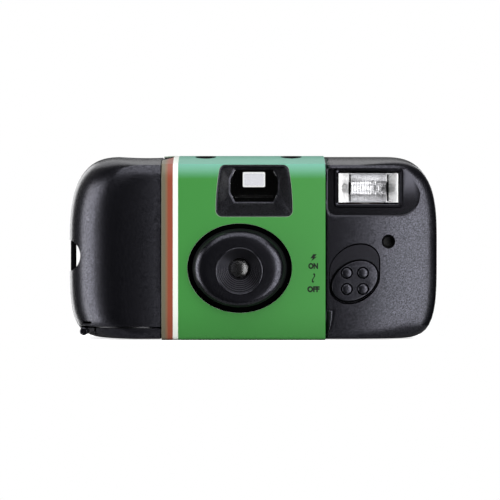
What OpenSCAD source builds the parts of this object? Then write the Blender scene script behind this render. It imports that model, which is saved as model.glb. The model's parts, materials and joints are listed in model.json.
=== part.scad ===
// Single-use 35 mm film camera with flash.
// X runs to the right seen from the front, the front faces -Y and Z is up.
// The origin is under the middle of the base.

/* [Case] */
// Width across the widest part of the case
case_w = 108; // [106:0.5:112]
// Height at the crest of the top
case_h = 54; // [53.5:0.25:57]
// Y of the printed front face
front_y = -12.5; // [-13.5:0.25:-12.5]
// Y of the printed back face
back_y = 17; // [17:0.25:18.5]
// Y of the joint between the front and back covers
split_y = 1; // [0.5:0.25:2]
// Thickness of the moulded walls
wall = 1.4; // [1.2:0.1:1.5]
// How far the left grip rolls round, across the front
grip_roll = 16.2; // [14:0.1:18]
// How far the right end of the front rolls back, across the front
right_roll = 32; // [30:0.25:32.5]
// Depth of that roll at the side
right_depth = 6; // [5:0.1:6.4]
// Radius of the edges of the back
back_round = 2.5; // [2:0.1:3]
// Radius of the front and back edges of the base
base_round = 1; // [0.5:0.1:1.4]
// Fall of the crowned top from its crest to the front fold
fold_drop = 3; // [2.6:0.1:3.4]
// Height of the leaning shoulder below the front fold
shoulder_h = 3.8; // [3:0.1:5]

/* [Label] */
// Left edge of the printed band
label_left = -26.2; // [-26.5:0.1:-25.5]
// Right edge of the printed band
label_right = 21.2; // [20.5:0.1:21.4]
// Thickness of the printed band
label_t = 0.3; // [0.2:0.05:0.4]

/* [Lens] */
// Sideways place of the lens
lens_x = -3.6; // [-4.5:0.1:-3]
// Height of the lens
lens_z = 20.8; // [20.4:0.1:21.5]
// Half width of the oval lens surround
bezel_a = 13.7; // [12.5:0.1:14.2]
// Half height of the oval lens surround
bezel_b = 11.5; // [11:0.1:12]
// How far the surround stands in front of the case
bezel_h = 4.8; // [4:0.1:5.5]
// Gap between the surround and the edge of the label
bezel_gap = 1.4; // [1:0.1:1.6]
// Radius of the taking lens
lens_r = 3.4; // [3:0.1:3.8]
// Diameter of the fixed stop
stop_d = 3.2; // [2.6:0.1:3.6]

/* [Finder] */
// Middle of the finder
finder_x = 0.6; // [0.2:0.1:1]
// Width of the front opening at its top
finder_top_w = 18; // [16:0.25:19]
// Width of the front opening at its bottom
finder_bottom_w = 22.4; // [21:0.25:23]
// Height of the front opening
finder_h = 14.9; // [14:0.1:15.5]
// Width of the front window of the finder
finder_lens_w = 14.2; // [13:0.1:15]
// Height of the front window of the finder
finder_lens_h = 9.6; // [9:0.1:10]
// Width of the eyepiece
eyepiece_w = 7.4; // [6.5:0.1:8]
// Height of the eyepiece
eyepiece_h = 5.2; // [4.5:0.1:5.6]

/* [Flash] */
// Left edge of the flash recess
flash_left = 21.7; // [21.6:0.1:22.2]
// Bottom edge of the flash recess, down from the crest
flash_drop = 18.05; // [17.6:0.05:18.6]
// Height of the flash recess
flash_h = 13.8; // [13.4:0.1:14]
// Depth of the flash recess at the label
flash_depth = 2.4; // [2.2:0.1:2.6]
// Width of the flash window
flash_win_w = 17.1; // [16:0.1:17.5]
// Height of the flash window
flash_win_h = 8.6; // [8:0.1:9]
// Diameter of the flash tube
tube_d = 2.6; // [2.2:0.1:3]

/* [Switch] */
// Sideways place of the flash switch
switch_x = 29.7; // [29.2:0.1:30.2]
// Height of the flash switch at rest
switch_z = 17.1; // [16.6:0.1:17.6]
// Half length of the oval switch
switch_a = 7.4; // [7:0.1:7.6]
// Half width of the oval switch
switch_b = 5.5; // [5:0.1:5.8]
// Tilt of the oval switch
switch_tilt = 32; // [25:1:38]
// Travel of the switch
switch_travel = 4.2; // [3.8:0.1:4.4]
// Spacing of its four grip dots
dot_pitch = 4.67; // [4.2:0.05:4.8]
// Diameter of a grip dot at its foot
dot_d = 2.7; // [2.4:0.1:3]

/* [Button] */
// Sideways place of the shutter button
button_x = -31.2; // [-31.6:0.1:-31]
// Diameter of the shutter button
button_d = 10.6; // [10:0.1:11]
// Travel of the shutter button
button_travel = 1; // [0.8:0.05:1]
// Radius of the dish round the button
dish_r = 8.5; // [8:0.1:9]
// Depth of the dish
dish_depth = 1.3; // [1:0.1:1.4]

/* [Film] */
// Radius of the film cartridge
cart_r = 12.5; // [12.3:0.1:12.6]
// Length of the film cartridge
cart_h = 43.2; // [42.6:0.1:43.4]
// Width of the film
film_w = 35; // [34.8:0.1:35]
// Radius of the wound film
roll_r = 8.3; // [7.8:0.1:8.5]
// Radius of the thumbwheel
wheel_r = 12.2; // [12:0.1:12.4]
// Thickness of the thumbwheel
wheel_h = 2.3; // [2:0.1:2.3]
// Number of ribs on the thumbwheel
wheel_ribs = 44; // [30:1:50]
// Radius of the counter disc
counter_r = 7.2; // [6.8:0.1:7.3]

/* [Power] */
// Diameter of the battery
cell_d = 10.4; // [10.2:0.1:10.5]
// Length of the battery without its nub
cell_l = 43.4; // [43:0.1:43.8]
// Diameter of the main capacitor
cap_d = 9.2; // [8.5:0.1:9.4]
// Length of the main capacitor
cap_l = 27; // [24:0.5:28]

/* [Fits] */
// Clearance round pieces that slide or swing past each other
gap = 0.3; // [0.25:0.05:0.35]
// Radial clearance of a pivot in its hole
pivot_fit = 0.05; // [0.03:0.01:0.08]

/* [Hidden] */
$fn = 48;
eps = 0.01;
half_w = case_w / 2;
case_d = back_y - front_y;
// The widest outline is flat on top, with a rounded corner block at each side
corner_run = 16;
mid_z = 28;
left_n = 2.8;
right_n = 3.1;
base_n = 4.5;
corner_steps = 9;
crest_y = 4;
back_drop = 1.2;
fold_depth = 1;
fold_y = front_y + fold_depth;
roll_end_y = split_y + 1.5;
// Faces of the moulded case, under the label and inside the walls
skin_y = front_y + label_t;
inner_y = skin_y + wall;
rear_y = back_y - label_t;
inner_rear_y = rear_y - wall;
floor_z = label_t + wall;

function clamp01(u) = max(0, min(1, u));
function ease(u) = 1 - sqrt(1 - pow(clamp01(u), 2));
function back_ease(y) = ease((y - back_y + back_round) / back_round);
function inset_left(y) =
    grip_roll * ease((roll_end_y - y) / (roll_end_y - front_y)) + back_round * back_ease(y);
function inset_right(y) =
    right_roll * ease((front_y + right_depth - y) / right_depth) + back_round * back_ease(y);
function bottom_at(y) =
    base_round * (ease((front_y + base_round - y) / base_round)
        + ease((y - back_y + base_round) / base_round));
function top_at(y) =
    y <= fold_y ? case_h - fold_drop - shoulder_h * (fold_y - y) / (fold_y - front_y)
    : y <= crest_y ? case_h - fold_drop * pow((crest_y - y) / (crest_y - fold_y), 2)
    : case_h - back_drop * pow((y - crest_y) / (back_y - crest_y), 2) - back_round * back_ease(y);

// One corner of the outline, from its side to its top or bottom
function corner(n, high) =
    [for (i = [0 : corner_steps])
        let (t = 90 * i / corner_steps)
        [half_w - corner_run + corner_run * pow(max(cos(t), 0), 2 / n), high * pow(sin(t), 2 / n)]];
function flip(list) = [for (i = [len(list) - 1 : -1 : 0]) list[i]];
up_right = corner(right_n, case_h - mid_z);
up_left = corner(left_n, case_h - mid_z);
down = corner(base_n, mid_z);
// The widest outline, as steps right and up from the point half_w inside each side at mid_z
outline = concat(
    up_right,
    [for (p = flip(up_left)) [-p[0], p[1]]],
    [for (i = [1 : corner_steps]) [-down[i][0], -down[i][1]]],
    [for (i = [corner_steps : -1 : 1]) [down[i][0], -down[i][1]]]);

// The outline drawn in to the depth y of the outer form, moved in by off, less the label at the bare sides
function case_ring(y, off) =
    let (
        side_off = off - label_t,
        right = (half_w - inset_right(y) - side_off) / half_w,
        left = (half_w - inset_left(y) - side_off) / half_w,
        rise = (top_at(y) - off - mid_z) / (case_h - mid_z),
        fall = (mid_z - bottom_at(y) - off) / mid_z,
        at = front_y + off + (y - front_y) * (case_d - 2 * off) / case_d)
    [for (p = outline) [p[0] * (p[0] > 0 ? right : left), at, mid_z + p[1] * (p[1] > 0 ? rise : fall)]];

// Depths at which the case is drawn
case_depths = [
    for (d = [0, 0.08, 0.3, 0.6]) front_y + d * fold_depth,
    for (d = [0 : 6]) fold_y + (right_depth - fold_depth) * d / 6,
    front_y + right_depth + 3.5, roll_end_y, back_y - 10,
    for (d = [1, 0.5, 0.2, 0.05, 0]) back_y - back_round * d];

// A closed skin through rings that all have the same number of points, in order round +Y
module loft(rings) {
    n = len(rings[0]);
    last = len(rings) - 1;
    points = [for (r = rings) for (p = r) p];
    sides = [for (k = [0 : last - 1]) for (i = [0 : n - 1])
        let (j = (i + 1) % n)
        each [[k * n + i, k * n + j, (k + 1) * n + j], [k * n + i, (k + 1) * n + j, (k + 1) * n + i]]];
    caps = [[for (i = [n - 1 : -1 : 0]) i], [for (i = [0 : n - 1]) last * n + i]];
    polyhedron(points, concat(sides, caps));
}
module case_solid(off) {
    loft([for (y = case_depths) case_ring(y, off)]);
}

// A box from its lowest to its highest corner
module box(low, high) {
    translate(low) cube(high - low);
}
// A round bar along Y or X
module bar_y(x, y0, y1, z, r) {
    translate([x, y0, z]) rotate([-90, 0, 0]) cylinder(r = r, h = y1 - y0);
}
module bar_x(x0, x1, y, z, r) {
    translate([x0, y, z]) rotate([0, 90, 0]) cylinder(r = r, h = x1 - x0);
}
module post(x, y, z0, z1, r) {
    translate([x, y, z0]) cylinder(r = r, h = z1 - z0);
}
// A flat shape drawn in X and Z, given a thickness from y0 to y1
module slab(y0, y1) {
    translate([0, y1, 0]) rotate([90, 0, 0]) linear_extrude(y1 - y0) children();
}
function oval(a, b, n = 48) = [for (i = [0 : n - 1]) [a * cos(360 * i / n), b * sin(360 * i / n)]];
function oval_ring(a, b, y, n = 48) =
    [for (p = oval(a, b, n)) [lens_x + p[0], y, lens_z + p[1]]];

// Lens and shutter stations
bezel_y = skin_y - bezel_h;
plug_r = 9;
face_r = 6.9;
lens_lip = 0.4;
lens_t = 1.7;
lens_y = inner_y - lens_t;
stop_t = 0.4;
blade_t = 0.4;
blade_y = inner_y + 1.3;
plate_t = 1;
plate_y = blade_y + 0.9;
lever_t = 0.5;
lever_y = inner_y + 0.6;

// Film stations
cart_x = -half_w + 18.6;
cart_y = inner_rear_y - 0.2 - cart_r;
cart_z = label_t + 1.1;
cart_top = cart_z + cart_h;
film_z = cart_z + cart_h / 2;
film_t = 0.15;
film_y = inner_rear_y - 2;
gate_w = 36;
gate_h = 24;
gate_y = film_y - 0.15;
gate_t = 1.3;
roll_x = 31.4;
roll_y = film_y + film_t - roll_r;
core_r = 4;
sprocket_x = -15;
tooth_r = 6.6;
sprocket_y = film_y - gap - tooth_r;
sprocket_z = film_z + film_w / 2 - 3;
sprocket_t = 2.2;
deck_z = film_z + film_w / 2 + 0.6;
deck_t = 1.2;
hub_r = 6;
bearing_z = cart_top + 0.2;
bearing_t = 0.8;
wheel_z = bearing_z + bearing_t + gap;
wheel_top = wheel_z + wheel_h;
counter_x = -14.2;
counter_y = 3;
counter_t = 0.8;
counter_z = wheel_top + 1.7;
window_x = -13.6;
window_y = -2.6;
window_r = 2.8;
axle_r = 1.5;

// Button stations
button_y = -1;
button_r = button_d / 2;
dish_z = top_at(button_y) - label_t - dish_depth;
flange_z = wheel_top + button_travel + gap;
flange_t = 0.7;
flange_r = button_r + 1.3;
stem_x = -23.6;
stem_y = -4.6;
stem_r = 1;
release_x = -18.6;
release_z = 35.5;
release_t = 0.8;

// Finder stations
finder_top = case_h - fold_drop - 0.3;
finder_bottom = finder_top - finder_h;
finder_mid = finder_top - 1.1 - finder_lens_h / 2;
finder_y = skin_y + 6.4;
finder_lens_t = 1.2;
eyepiece_z = finder_mid + 2.6;

// Flash stations
flash_bottom = case_h - flash_drop;
flash_floor = skin_y + flash_depth;
win_x0 = flash_left + 3.6;
win_z0 = flash_bottom + 3.9;
win_t = 1.6;
win_y = flash_floor - 0.4;
reflector_y = win_y + win_t;
reflector_d = 6;
tube_y = reflector_y + 3;
tube_z = win_z0 + flash_win_h / 2;

// Electrics
board_y = inner_y + 3.4;
board_t = 1.2;
board_x0 = 24.4;
board_z0 = floor_z + 5;
board_x1 = half_w - 5.6;
board_z1 = flash_bottom + 0.3;
cell_x0 = -20.4;
cell_y = inner_y + 0.3 + cell_d / 2;
cell_z = floor_z + 0.2 + cell_d / 2;
cap_x = half_w - 7.4;
cap_y = 5.4;
pipe_x = 11.5;
pipe_y = -2.4;
pipe_r = 1.2;
pipe_head_r = 1.8;
pipe_arm = 2;
pipe_top = top_at(pipe_y) - 1.6;
stem_h = 2.4;

// Switch stations
track_depth = 0.9;
track_y = skin_y + track_depth;
switch_t = 1.1;
slide_fit = 0.1;
dot_h = 0.6;
dot_taper = 1;
pipe_arm_y = board_y - 2.1;
// Depth and turn of the bare front at x, where the right end rolls back
function roll_share(x) = clamp01((x - half_w + right_roll) / right_roll);
function panel_at(x) = skin_y + right_depth * ease(roll_share(x));
function panel_turn(x) =
    let (u = roll_share(x)) atan(right_depth / right_roll * u / sqrt(1 - u * u));

// Door stations
door_x0 = -half_w + 4;
door_x1 = label_left - gap;
door_t = 0.9;
door_lip = 3.4;
hinge_x = door_x1 - door_t / 2;
hinge_z = label_t + door_t / 2;
// The lip runs round the grip to this depth
door_wrap_y = -3;

// Outline of the switch swept straight up by its travel
function tilted(t, a, b) = [
    a * cos(t) * cos(switch_tilt) - b * sin(t) * sin(switch_tilt),
    a * cos(t) * sin(switch_tilt) + b * sin(t) * cos(switch_tilt)];
function switch_oval(grow, lift) =
    let (a = switch_a + grow, b = switch_b + grow, t0 = atan2(-b * sin(switch_tilt), a * cos(switch_tilt)))
    [for (i = [0 : 48]) each
        let (p = tilted(t0 + 360 * i / 48, a, b))
        i == 24 ? [[p[0], p[1] + lift], p] : [[p[0], p[1] + (i < 24 ? lift : 0)]]];

// Four-sided tunnel that narrows from the front opening of the finder to its front window
module finder_hole() {
    front = [
        [finder_x - finder_top_w / 2, skin_y - 1, finder_top],
        [finder_x + finder_top_w / 2, skin_y - 1, finder_top],
        [finder_x + finder_bottom_w / 2, skin_y - 1, finder_bottom],
        [finder_x - finder_bottom_w / 2, skin_y - 1, finder_bottom]];
    w = finder_lens_w / 2 - 0.6;
    h = finder_lens_h / 2 - 0.6;
    back = [
        [finder_x - w, finder_y + eps, finder_mid + h], [finder_x + w, finder_y + eps, finder_mid + h],
        [finder_x + w, finder_y + eps, finder_mid - h], [finder_x - w, finder_y + eps, finder_mid - h]];
    loft([for (r = [front, back]) flip(r)]);
}

// Strap eye: a round notch in the left edge, crossed by an upright bar
strap_z = 24.4;
strap_r = 4.2;
strap_x = -half_w - 0.9;
strap_bar = 1.6;
strap_bar_d = 3;
sensor_x = half_w - 14.4;
sensor_z = 28.5;
sensor_r = 1.8;
seat_fit = 0.05;
block_wall = 0.9;

// Space that the cartridge door takes up in the covers
module door_space(grow) {
    box([door_x0 - grow, front_y - 1, -1], [door_x1 + grow, back_y + 1, label_t + door_t + grow]);
    box([door_x0 - grow, front_y - 1, -1], [door_x1 + grow, door_wrap_y + grow, door_lip + grow]);
}
// Room for the cartridge, which is put in through the base
module cartridge_room() {
    post(cart_x, cart_y, label_t + door_t, cart_top + gap, cart_r + gap);
}
module wheel_room() {
    post(cart_x, cart_y, wheel_z - gap, wheel_top + gap, wheel_r + gap);
}
module strap_block(y0, y1) {
    box([-half_w, y0, strap_z - strap_r - wall], [strap_x + strap_r + wall, y1, strap_z + strap_r + wall]);
}
module strap_notch() {
    bar_y(strap_x, front_y - 1, back_y + 1, strap_z, strap_r);
}
// Dish in the top with the hole for the button, and the pad that thickens the top under it
module button_well() {
    r = (dish_r * dish_r + dish_depth * dish_depth) / (2 * dish_depth);
    translate([button_x, button_y, dish_z + r]) sphere(r = r, $fn = 96);
    post(button_x, button_y, mid_z, case_h + 1, button_r + gap);
}
module dish_pad(y0, y1) {
    intersection() {
        post(button_x, button_y, flange_z + flange_t + gap, case_h, dish_r + block_wall);
        box([-half_w, y0, 0], [half_w, y1, case_h]);
    }
}
// Slot above the latch of the door
module latch_slot() {
    box([door_x0 + 0.6, front_y, door_lip + 1.2], [door_x0 + 3.4, split_y - 2, door_lip + 1.9]);
}
// Flash recess with a flat floor, which runs out where the front rolls back at the right
module flash_recess() {
    box([flash_left, front_y - 1, flash_bottom], [half_w, flash_floor, flash_bottom + flash_h]);
}
// Turns what lies square to the front at the switch to the slope of the front there
module on_panel() {
    translate([switch_x, panel_at(switch_x), 0]) rotate([0, 0, panel_turn(switch_x)])
        translate([-switch_x, -skin_y, 0]) children();
}

module front_cover() color([0.09, 0.09, 0.1]) difference() {
    intersection() {
        case_solid(label_t);
        union() {
            difference() {
                box([-half_w, front_y, 0], [half_w, split_y, case_h]);
                case_solid(label_t + wall);
            }
            box([finder_x - finder_bottom_w / 2 - block_wall, skin_y, finder_bottom - block_wall],
                [finder_x + finder_bottom_w / 2 + block_wall, finder_y + finder_lens_t, case_h]);
            box([flash_left - block_wall, skin_y, flash_bottom - block_wall],
                [half_w, flash_floor + block_wall, flash_bottom + flash_h + block_wall]);
            dish_pad(front_y, split_y);
            on_panel() slab(skin_y, track_y + block_wall)
                translate([switch_x, switch_z]) polygon(switch_oval(gap + block_wall, switch_travel));
            strap_block(front_y, split_y);
        }
    }
    finder_hole();
    box([finder_x - finder_lens_w / 2 - seat_fit, finder_y, finder_mid - finder_lens_h / 2 - seat_fit],
        [finder_x + finder_lens_w / 2 + seat_fit, split_y, finder_mid + finder_lens_h / 2 + seat_fit]);
    bar_y(lens_x, front_y - 1, split_y, lens_z, plug_r + seat_fit);
    flash_recess();
    box([win_x0 - seat_fit, front_y, win_z0 - seat_fit],
        [win_x0 + flash_win_w + seat_fit, split_y, win_z0 + flash_win_h + seat_fit]);
    bar_y(sensor_x, front_y - 1, split_y, sensor_z, sensor_r);
    on_panel() slab(front_y - 1, track_y)
        translate([switch_x, switch_z]) polygon(switch_oval(gap, switch_travel));
    box([switch_x - stem_h / 2 - gap, front_y, switch_z - stem_h / 2 - gap],
        [switch_x + stem_h / 2 + gap, split_y, switch_z + stem_h / 2 + switch_travel + gap]);
    button_well();
    latch_slot();
    post(window_x, window_y, counter_z, case_h + 1, window_r);
    post(pipe_x, pipe_y, mid_z, case_h + 1, pipe_head_r + gap);
    strap_notch();
    cartridge_room();
    wheel_room();
    door_space(gap);
}

module back_cover() color([0.09, 0.09, 0.1]) difference() {
    scoop_r = 12;
    scoop_depth = 2.8;
    intersection() {
        case_solid(label_t);
        union() {
            difference() {
                box([-half_w, split_y, 0], [half_w, back_y, case_h]);
                case_solid(label_t + wall);
            }
            box([cart_x - scoop_r, inner_rear_y - scoop_depth, wheel_top + gap],
                [cart_x + scoop_r * 0.8, back_y, case_h]);
            strap_block(split_y, back_y);
            dish_pad(split_y, back_y);
            for (side = [-1, 1])
                box([-20, film_y + film_t + gap, film_z + side * film_w / 2 - 1],
                    [18, inner_rear_y + eps, film_z + side * film_w / 2 + 1]);
        }
    }
    translate([cart_x, rear_y + scoop_r - scoop_depth, wheel_z - gap])
        cylinder(r = scoop_r, h = wheel_h + 2 * gap + 2.6);
    box([finder_x - eyepiece_w / 2 - seat_fit, split_y, eyepiece_z - eyepiece_h / 2 - seat_fit],
        [finder_x + eyepiece_w / 2 + seat_fit, back_y + 1, eyepiece_z + eyepiece_h / 2 + seat_fit]);
    difference() {
        strap_notch();
        box([-half_w + label_t, split_y, strap_z - strap_r],
            [-half_w + label_t + strap_bar, split_y + strap_bar_d, strap_z + strap_r]);
    }
    button_well();
    cartridge_room();
    wheel_room();
    door_space(gap);
}

// Side profile of the case, moved in by off
function case_profile(off) =
    let (at = function(y) front_y + off + (y - front_y) * (case_d - 2 * off) / case_d)
    concat(
        [for (y = case_depths) [at(y), top_at(y) - off]],
        [for (y = flip(case_depths)) [at(y), bottom_at(y) + off]]);

module label_band() color([0.26, 0.56, 0.25]) difference() {
    translate([label_left, 0, 0])
    rotate([90, 0, 90])
    linear_extrude(label_right - label_left) difference() {
        polygon(case_profile(0));
        polygon(case_profile(label_t));
    }
    slab(front_y - 1, crest_y) polygon([
        [finder_x - finder_top_w / 2, finder_top], [finder_x + finder_top_w / 2, finder_top],
        [finder_x + finder_bottom_w / 2, finder_bottom], [finder_x - finder_bottom_w / 2, finder_bottom]]);
    slab(front_y - 1, crest_y)
        translate([lens_x, lens_z]) polygon(oval(bezel_a + bezel_gap, bezel_b + bezel_gap));
    for (hole = [[window_x, window_y], [pipe_x, pipe_y]])
        post(hole[0], hole[1], mid_z, case_h + 1, window_r + 0.2);
    post(button_x, button_y, mid_z, case_h + 1, dish_r);
    box([finder_x - eyepiece_w / 2 - 0.6, split_y, eyepiece_z - eyepiece_h / 2 - 0.6],
        [finder_x + eyepiece_w / 2 + 0.6, back_y + 1, eyepiece_z + eyepiece_h / 2 + 0.6]);
}

// Domed oval that rises to a round face, with rings that step down to the lens
module lens_bezel() color([0.08, 0.08, 0.09]) difference() {
    dome_power = 5;
    step_d = (lens_y - bezel_y) / 4;
    step_r = (face_r - lens_r) / 4;
    union() {
        loft([for (s = [0, 0.3, 0.5, 0.65, 0.77, 0.86, 0.93, 0.98, 1])
            oval_ring(
                face_r + (bezel_a - face_r) * s,
                face_r + (bezel_b - face_r) * s,
                skin_y - bezel_h * sqrt(1 - pow(s, dome_power)))]);
        bar_y(lens_x, skin_y - eps, inner_y, lens_z, plug_r);
    }
    for (i = [1 : 3]) bar_y(lens_x, bezel_y - 1, bezel_y + i * step_d, lens_z, face_r - i * step_r);
    bar_y(lens_x, bezel_y - 1, inner_y + 1, lens_z, lens_r - lens_lip);
    bar_y(lens_x, lens_y, inner_y + 1, lens_z, lens_r + seat_fit);
}
module taking_lens() color([0.75, 0.8, 0.85]) intersection() {
    front_radius = 9;
    bar_y(lens_x, lens_y, inner_y, lens_z, lens_r);
    translate([lens_x, lens_y + front_radius, lens_z]) sphere(r = front_radius, $fn = 96);
}
module aperture_plate() color([0.15, 0.15, 0.16]) difference() {
    bar_y(lens_x, inner_y, inner_y + stop_t, lens_z, plug_r - 0.5);
    bar_y(lens_x, inner_y - 1, inner_y + 1, lens_z, stop_d / 2);
}

// Flat link with round ends, drawn in X and Z
module link(p, p_r, q, q_r) {
    d = q - p;
    n = [-d[1], d[0]] / norm(d);
    translate(p) circle(r = p_r);
    translate(q) circle(r = q_r);
    waist = 0.97;
    polygon([p + n * p_r * waist, q + n * q_r * waist, q - n * q_r * waist, p - n * p_r * waist]);
}
blade_pivot = [lens_x + 8, lens_z + 5.5];
lever_pivot = [lens_x - 10, lens_z + 5.7];
release_pivot = [release_x, release_z];
pin_r = 0.8;
base_low = cell_z + cell_d / 2 + 0.4;
base_left = -22;
base_right = lens_x + 11.8;

module shutter_base() color([0.13, 0.13, 0.14]) {
    difference() {
        slab(plate_y, plate_y + plate_t) {
            translate([base_left, base_low])
            square([base_right - base_left, finder_bottom - 1.6 - base_low]);
            translate([base_left, base_low])
                square([finder_x - finder_bottom_w / 2 - 2 - base_left, release_z + 2.4 - base_low]);
        }
        bar_y(lens_x, plate_y - 1, plate_y + 2, lens_z, 2.6);
    }
    for (pin = [[blade_pivot, blade_y], [lever_pivot, lever_y], [release_pivot, lever_y]])
        bar_y(pin[0][0], pin[1] - 0.2, plate_y + eps, pin[0][1], pin_r);
}
module shutter_blade() color([0.2, 0.2, 0.21]) difference() {
    tail = blade_pivot + 6 * [cos(168), sin(168)];
    union() {
        slab(blade_y, blade_y + blade_t) link(blade_pivot, 1.4, [lens_x, lens_z], 2.4);
        slab(blade_y, blade_y + blade_t) link(blade_pivot, 1.2, tail, 0.6);
    }
    bar_y(blade_pivot[0], blade_y - 1, blade_y + 1, blade_pivot[1], pin_r + pivot_fit);
}
module drive_lever() color([0.85, 0.85, 0.86]) difference() {
    tip = [lens_x + 1.4, lens_z + 5];
    union() {
        slab(lever_y, lever_y + lever_t) {
            link(lever_pivot, 1.7, tip, 0.6);
            link(lever_pivot, 1.7, lever_pivot + [-3.6, 3.4], 0.8);
        }
        bar_y(tip[0], lever_y, blade_y + blade_t, tip[1], 0.5);
    }
    bar_y(lever_pivot[0], lever_y - 1, lever_y + 1, lever_pivot[1], pin_r + pivot_fit);
}

// A round wire along a list of points, each with the direction of travel
module wire(path, r) {
    sides = 6;
    frames = [for (i = [0 : len(path) - 1])
        let (
            a = path[max(i - 1, 0)],
            b = path[min(i + 1, len(path) - 1)],
            t = (b - a) / norm(b - a),
            u = cross(t, [0.05, 1, 0.03]) / norm(cross(t, [0.05, 1, 0.03])),
            v = cross(t, u))
        [for (k = [0 : sides - 1]) path[i] + r * (cos(360 * k / sides) * u + sin(360 * k / sides) * v)]];
    loft([for (f = frames) flip(f)]);
}
// Torsion spring of one turn with a leg at each end
module drive_spring() color([0.7, 0.7, 0.72]) {
    coil_r = 1.9;
    wire_r = 0.15;
    steps = 20;
    pitch = 0.6;
    start_y = lever_y + lever_t + wire_r + 0.05;
    coil = [for (i = [0 : steps])
        let (t = 360 * i / steps)
        [lever_pivot[0] + coil_r * cos(t), start_y + pitch * i / steps, lever_pivot[1] + coil_r * sin(t)]];
    wire(concat([coil[0] - [0, 0, 4]], coil, [coil[steps] + [0, 0, 4]]), wire_r);
}
module release_lever() color([0.85, 0.85, 0.86]) difference() {
    tab_top = release_z + 0.5;
    union() {
        slab(lever_y, lever_y + lever_t) {
            link(release_pivot, 1.5, [stem_x + 0.4, release_z], 0.5);
            link(release_pivot, 1.5, release_pivot + [2.6, -1.6], 0.5);
        }
        box([stem_x - 0.8, lever_y, tab_top - release_t], [stem_x + 1, stem_y + 0.9, tab_top]);
    }
    bar_y(release_pivot[0], lever_y - 1, lever_y + 1, release_pivot[1], pin_r + pivot_fit);
}
module shutter_button() color([0.1, 0.1, 0.11]) {
    crown = dish_z + 0.7;
    post(button_x, button_y, flange_z, flange_z + flange_t, flange_r);
    intersection() {
        post(button_x, button_y, flange_z, crown, button_r);
        translate([button_x, button_y, crown - 40]) sphere(r = 40, $fn = 96);
    }
    translate([0, 0, flange_z]) linear_extrude(flange_t)
        link([button_x, button_y], 2, [stem_x, stem_y], stem_r);
    post(stem_x, stem_y, release_z + 0.5 + gap, flange_z + flange_t, stem_r);
}

module thumbwheel() color([0.12, 0.12, 0.13]) {
    rib = 0.35;
    fork_l = 3;
    fork_w = 1.4;
    fork_half = 2.6;
    translate([cart_x, cart_y, wheel_z]) linear_extrude(wheel_h)
        polygon([for (i = [0 : 2 * wheel_ribs - 1])
            let (r = wheel_r - (i % 2) * rib, t = 180 * i / wheel_ribs) [r * cos(t), r * sin(t)]]);
    post(cart_x, cart_y, bearing_z - 0.1, wheel_z + eps, hub_r);
    box([cart_x - fork_half, cart_y - fork_w / 2, bearing_z - fork_l],
        [cart_x + fork_half, cart_y + fork_w / 2, bearing_z]);
}
spool_r = 4.6;
socket_r = 3.2;
cap_h = 2.4;
module cartridge_shell() color([0.2, 0.35, 0.25]) difference() {
    union() {
        post(cart_x, cart_y, cart_z + cap_h, cart_top - cap_h, cart_r);
        box([cart_x + 4, film_y - 1, cart_z + cap_h],
            [cart_x + cart_r, inner_rear_y - 0.2, cart_top - cap_h]);
    }
    post(cart_x, cart_y, cart_z, cart_top, cart_r - 0.4);
    box([cart_x + 2, film_y - 0.2, cart_z + cap_h + 1.6],
        [cart_x + cart_r + 1, film_y + film_t + 0.2, cart_top - cap_h - 1.6]);
}
module cartridge_caps() color([0.35, 0.36, 0.37]) difference() {
    for (z = [cart_z, cart_top - cap_h]) post(cart_x, cart_y, z, z + cap_h, cart_r);
    post(cart_x, cart_y, cart_z - 1, cart_top + 1, spool_r + 2 * pivot_fit);
    for (z = [cart_z + 0.5, cart_top - cap_h - 1]) post(cart_x, cart_y, z, z + cap_h + 0.5, cart_r - 0.5);
}
module cartridge_spool() color([0.08, 0.08, 0.08]) difference() {
    union() {
        post(cart_x, cart_y, cart_z, cart_top, spool_r);
        for (z = [cart_z + cap_h + 0.4, cart_top - cap_h - 1.4]) post(cart_x, cart_y, z, z + 1, 9);
    }
    post(cart_x, cart_y, cart_top - 6, cart_top + 1, socket_r);
    post(cart_x, cart_y, cart_z - 1, cart_z + 4, socket_r);
}
film_x0 = cart_x + cart_r - 0.6;
film_x1 = roll_x - 3;
module film_strip() color([0.45, 0.3, 0.24]) difference() {
    pitch = 4.75;
    hole_w = 2;
    hole_h = 2.8;
    box([film_x0, film_y, film_z - film_w / 2], [film_x1, film_y + film_t, film_z + film_w / 2]);
    for (side = [-1, 1], x = [film_x0 + 2 : pitch : film_x1 - 3])
        box([x, film_y - 1, film_z + side * (film_w / 2 - 3.4) - hole_h / 2],
            [x + hole_w, film_y + 1, film_z + side * (film_w / 2 - 3.4) + hole_h / 2]);
}
module film_roll() color([0.4, 0.27, 0.22]) difference() {
    post(roll_x, roll_y, film_z - film_w / 2, film_z + film_w / 2, roll_r);
    post(roll_x, roll_y, 0, case_h, core_r);
}
roll_low = floor_z + 0.3;
module supply_spool() color([0.1, 0.1, 0.1]) {
    post(roll_x, roll_y, film_z - film_w / 2 - 1, film_z + film_w / 2, core_r);
    post(roll_x, roll_y, roll_low + 0.2, film_z - film_w / 2 - 1 + eps, axle_r);
}
module sprocket() color([0.85, 0.85, 0.84]) {
    teeth = 8;
    root_r = 5.6;
    post(sprocket_x, sprocket_y, sprocket_z - sprocket_t / 2, sprocket_z + sprocket_t / 2, root_r);
    for (i = [0 : teeth - 1])
        translate([sprocket_x, sprocket_y, sprocket_z]) rotate([0, 0, 360 * (i + 0.5) / teeth])
            box([root_r - 1, -0.8, -0.9], [tooth_r - 0.05, 0.8, 0.9]);
    post(sprocket_x, sprocket_y, sprocket_z, deck_z + deck_t + 0.8, axle_r);
}
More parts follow.
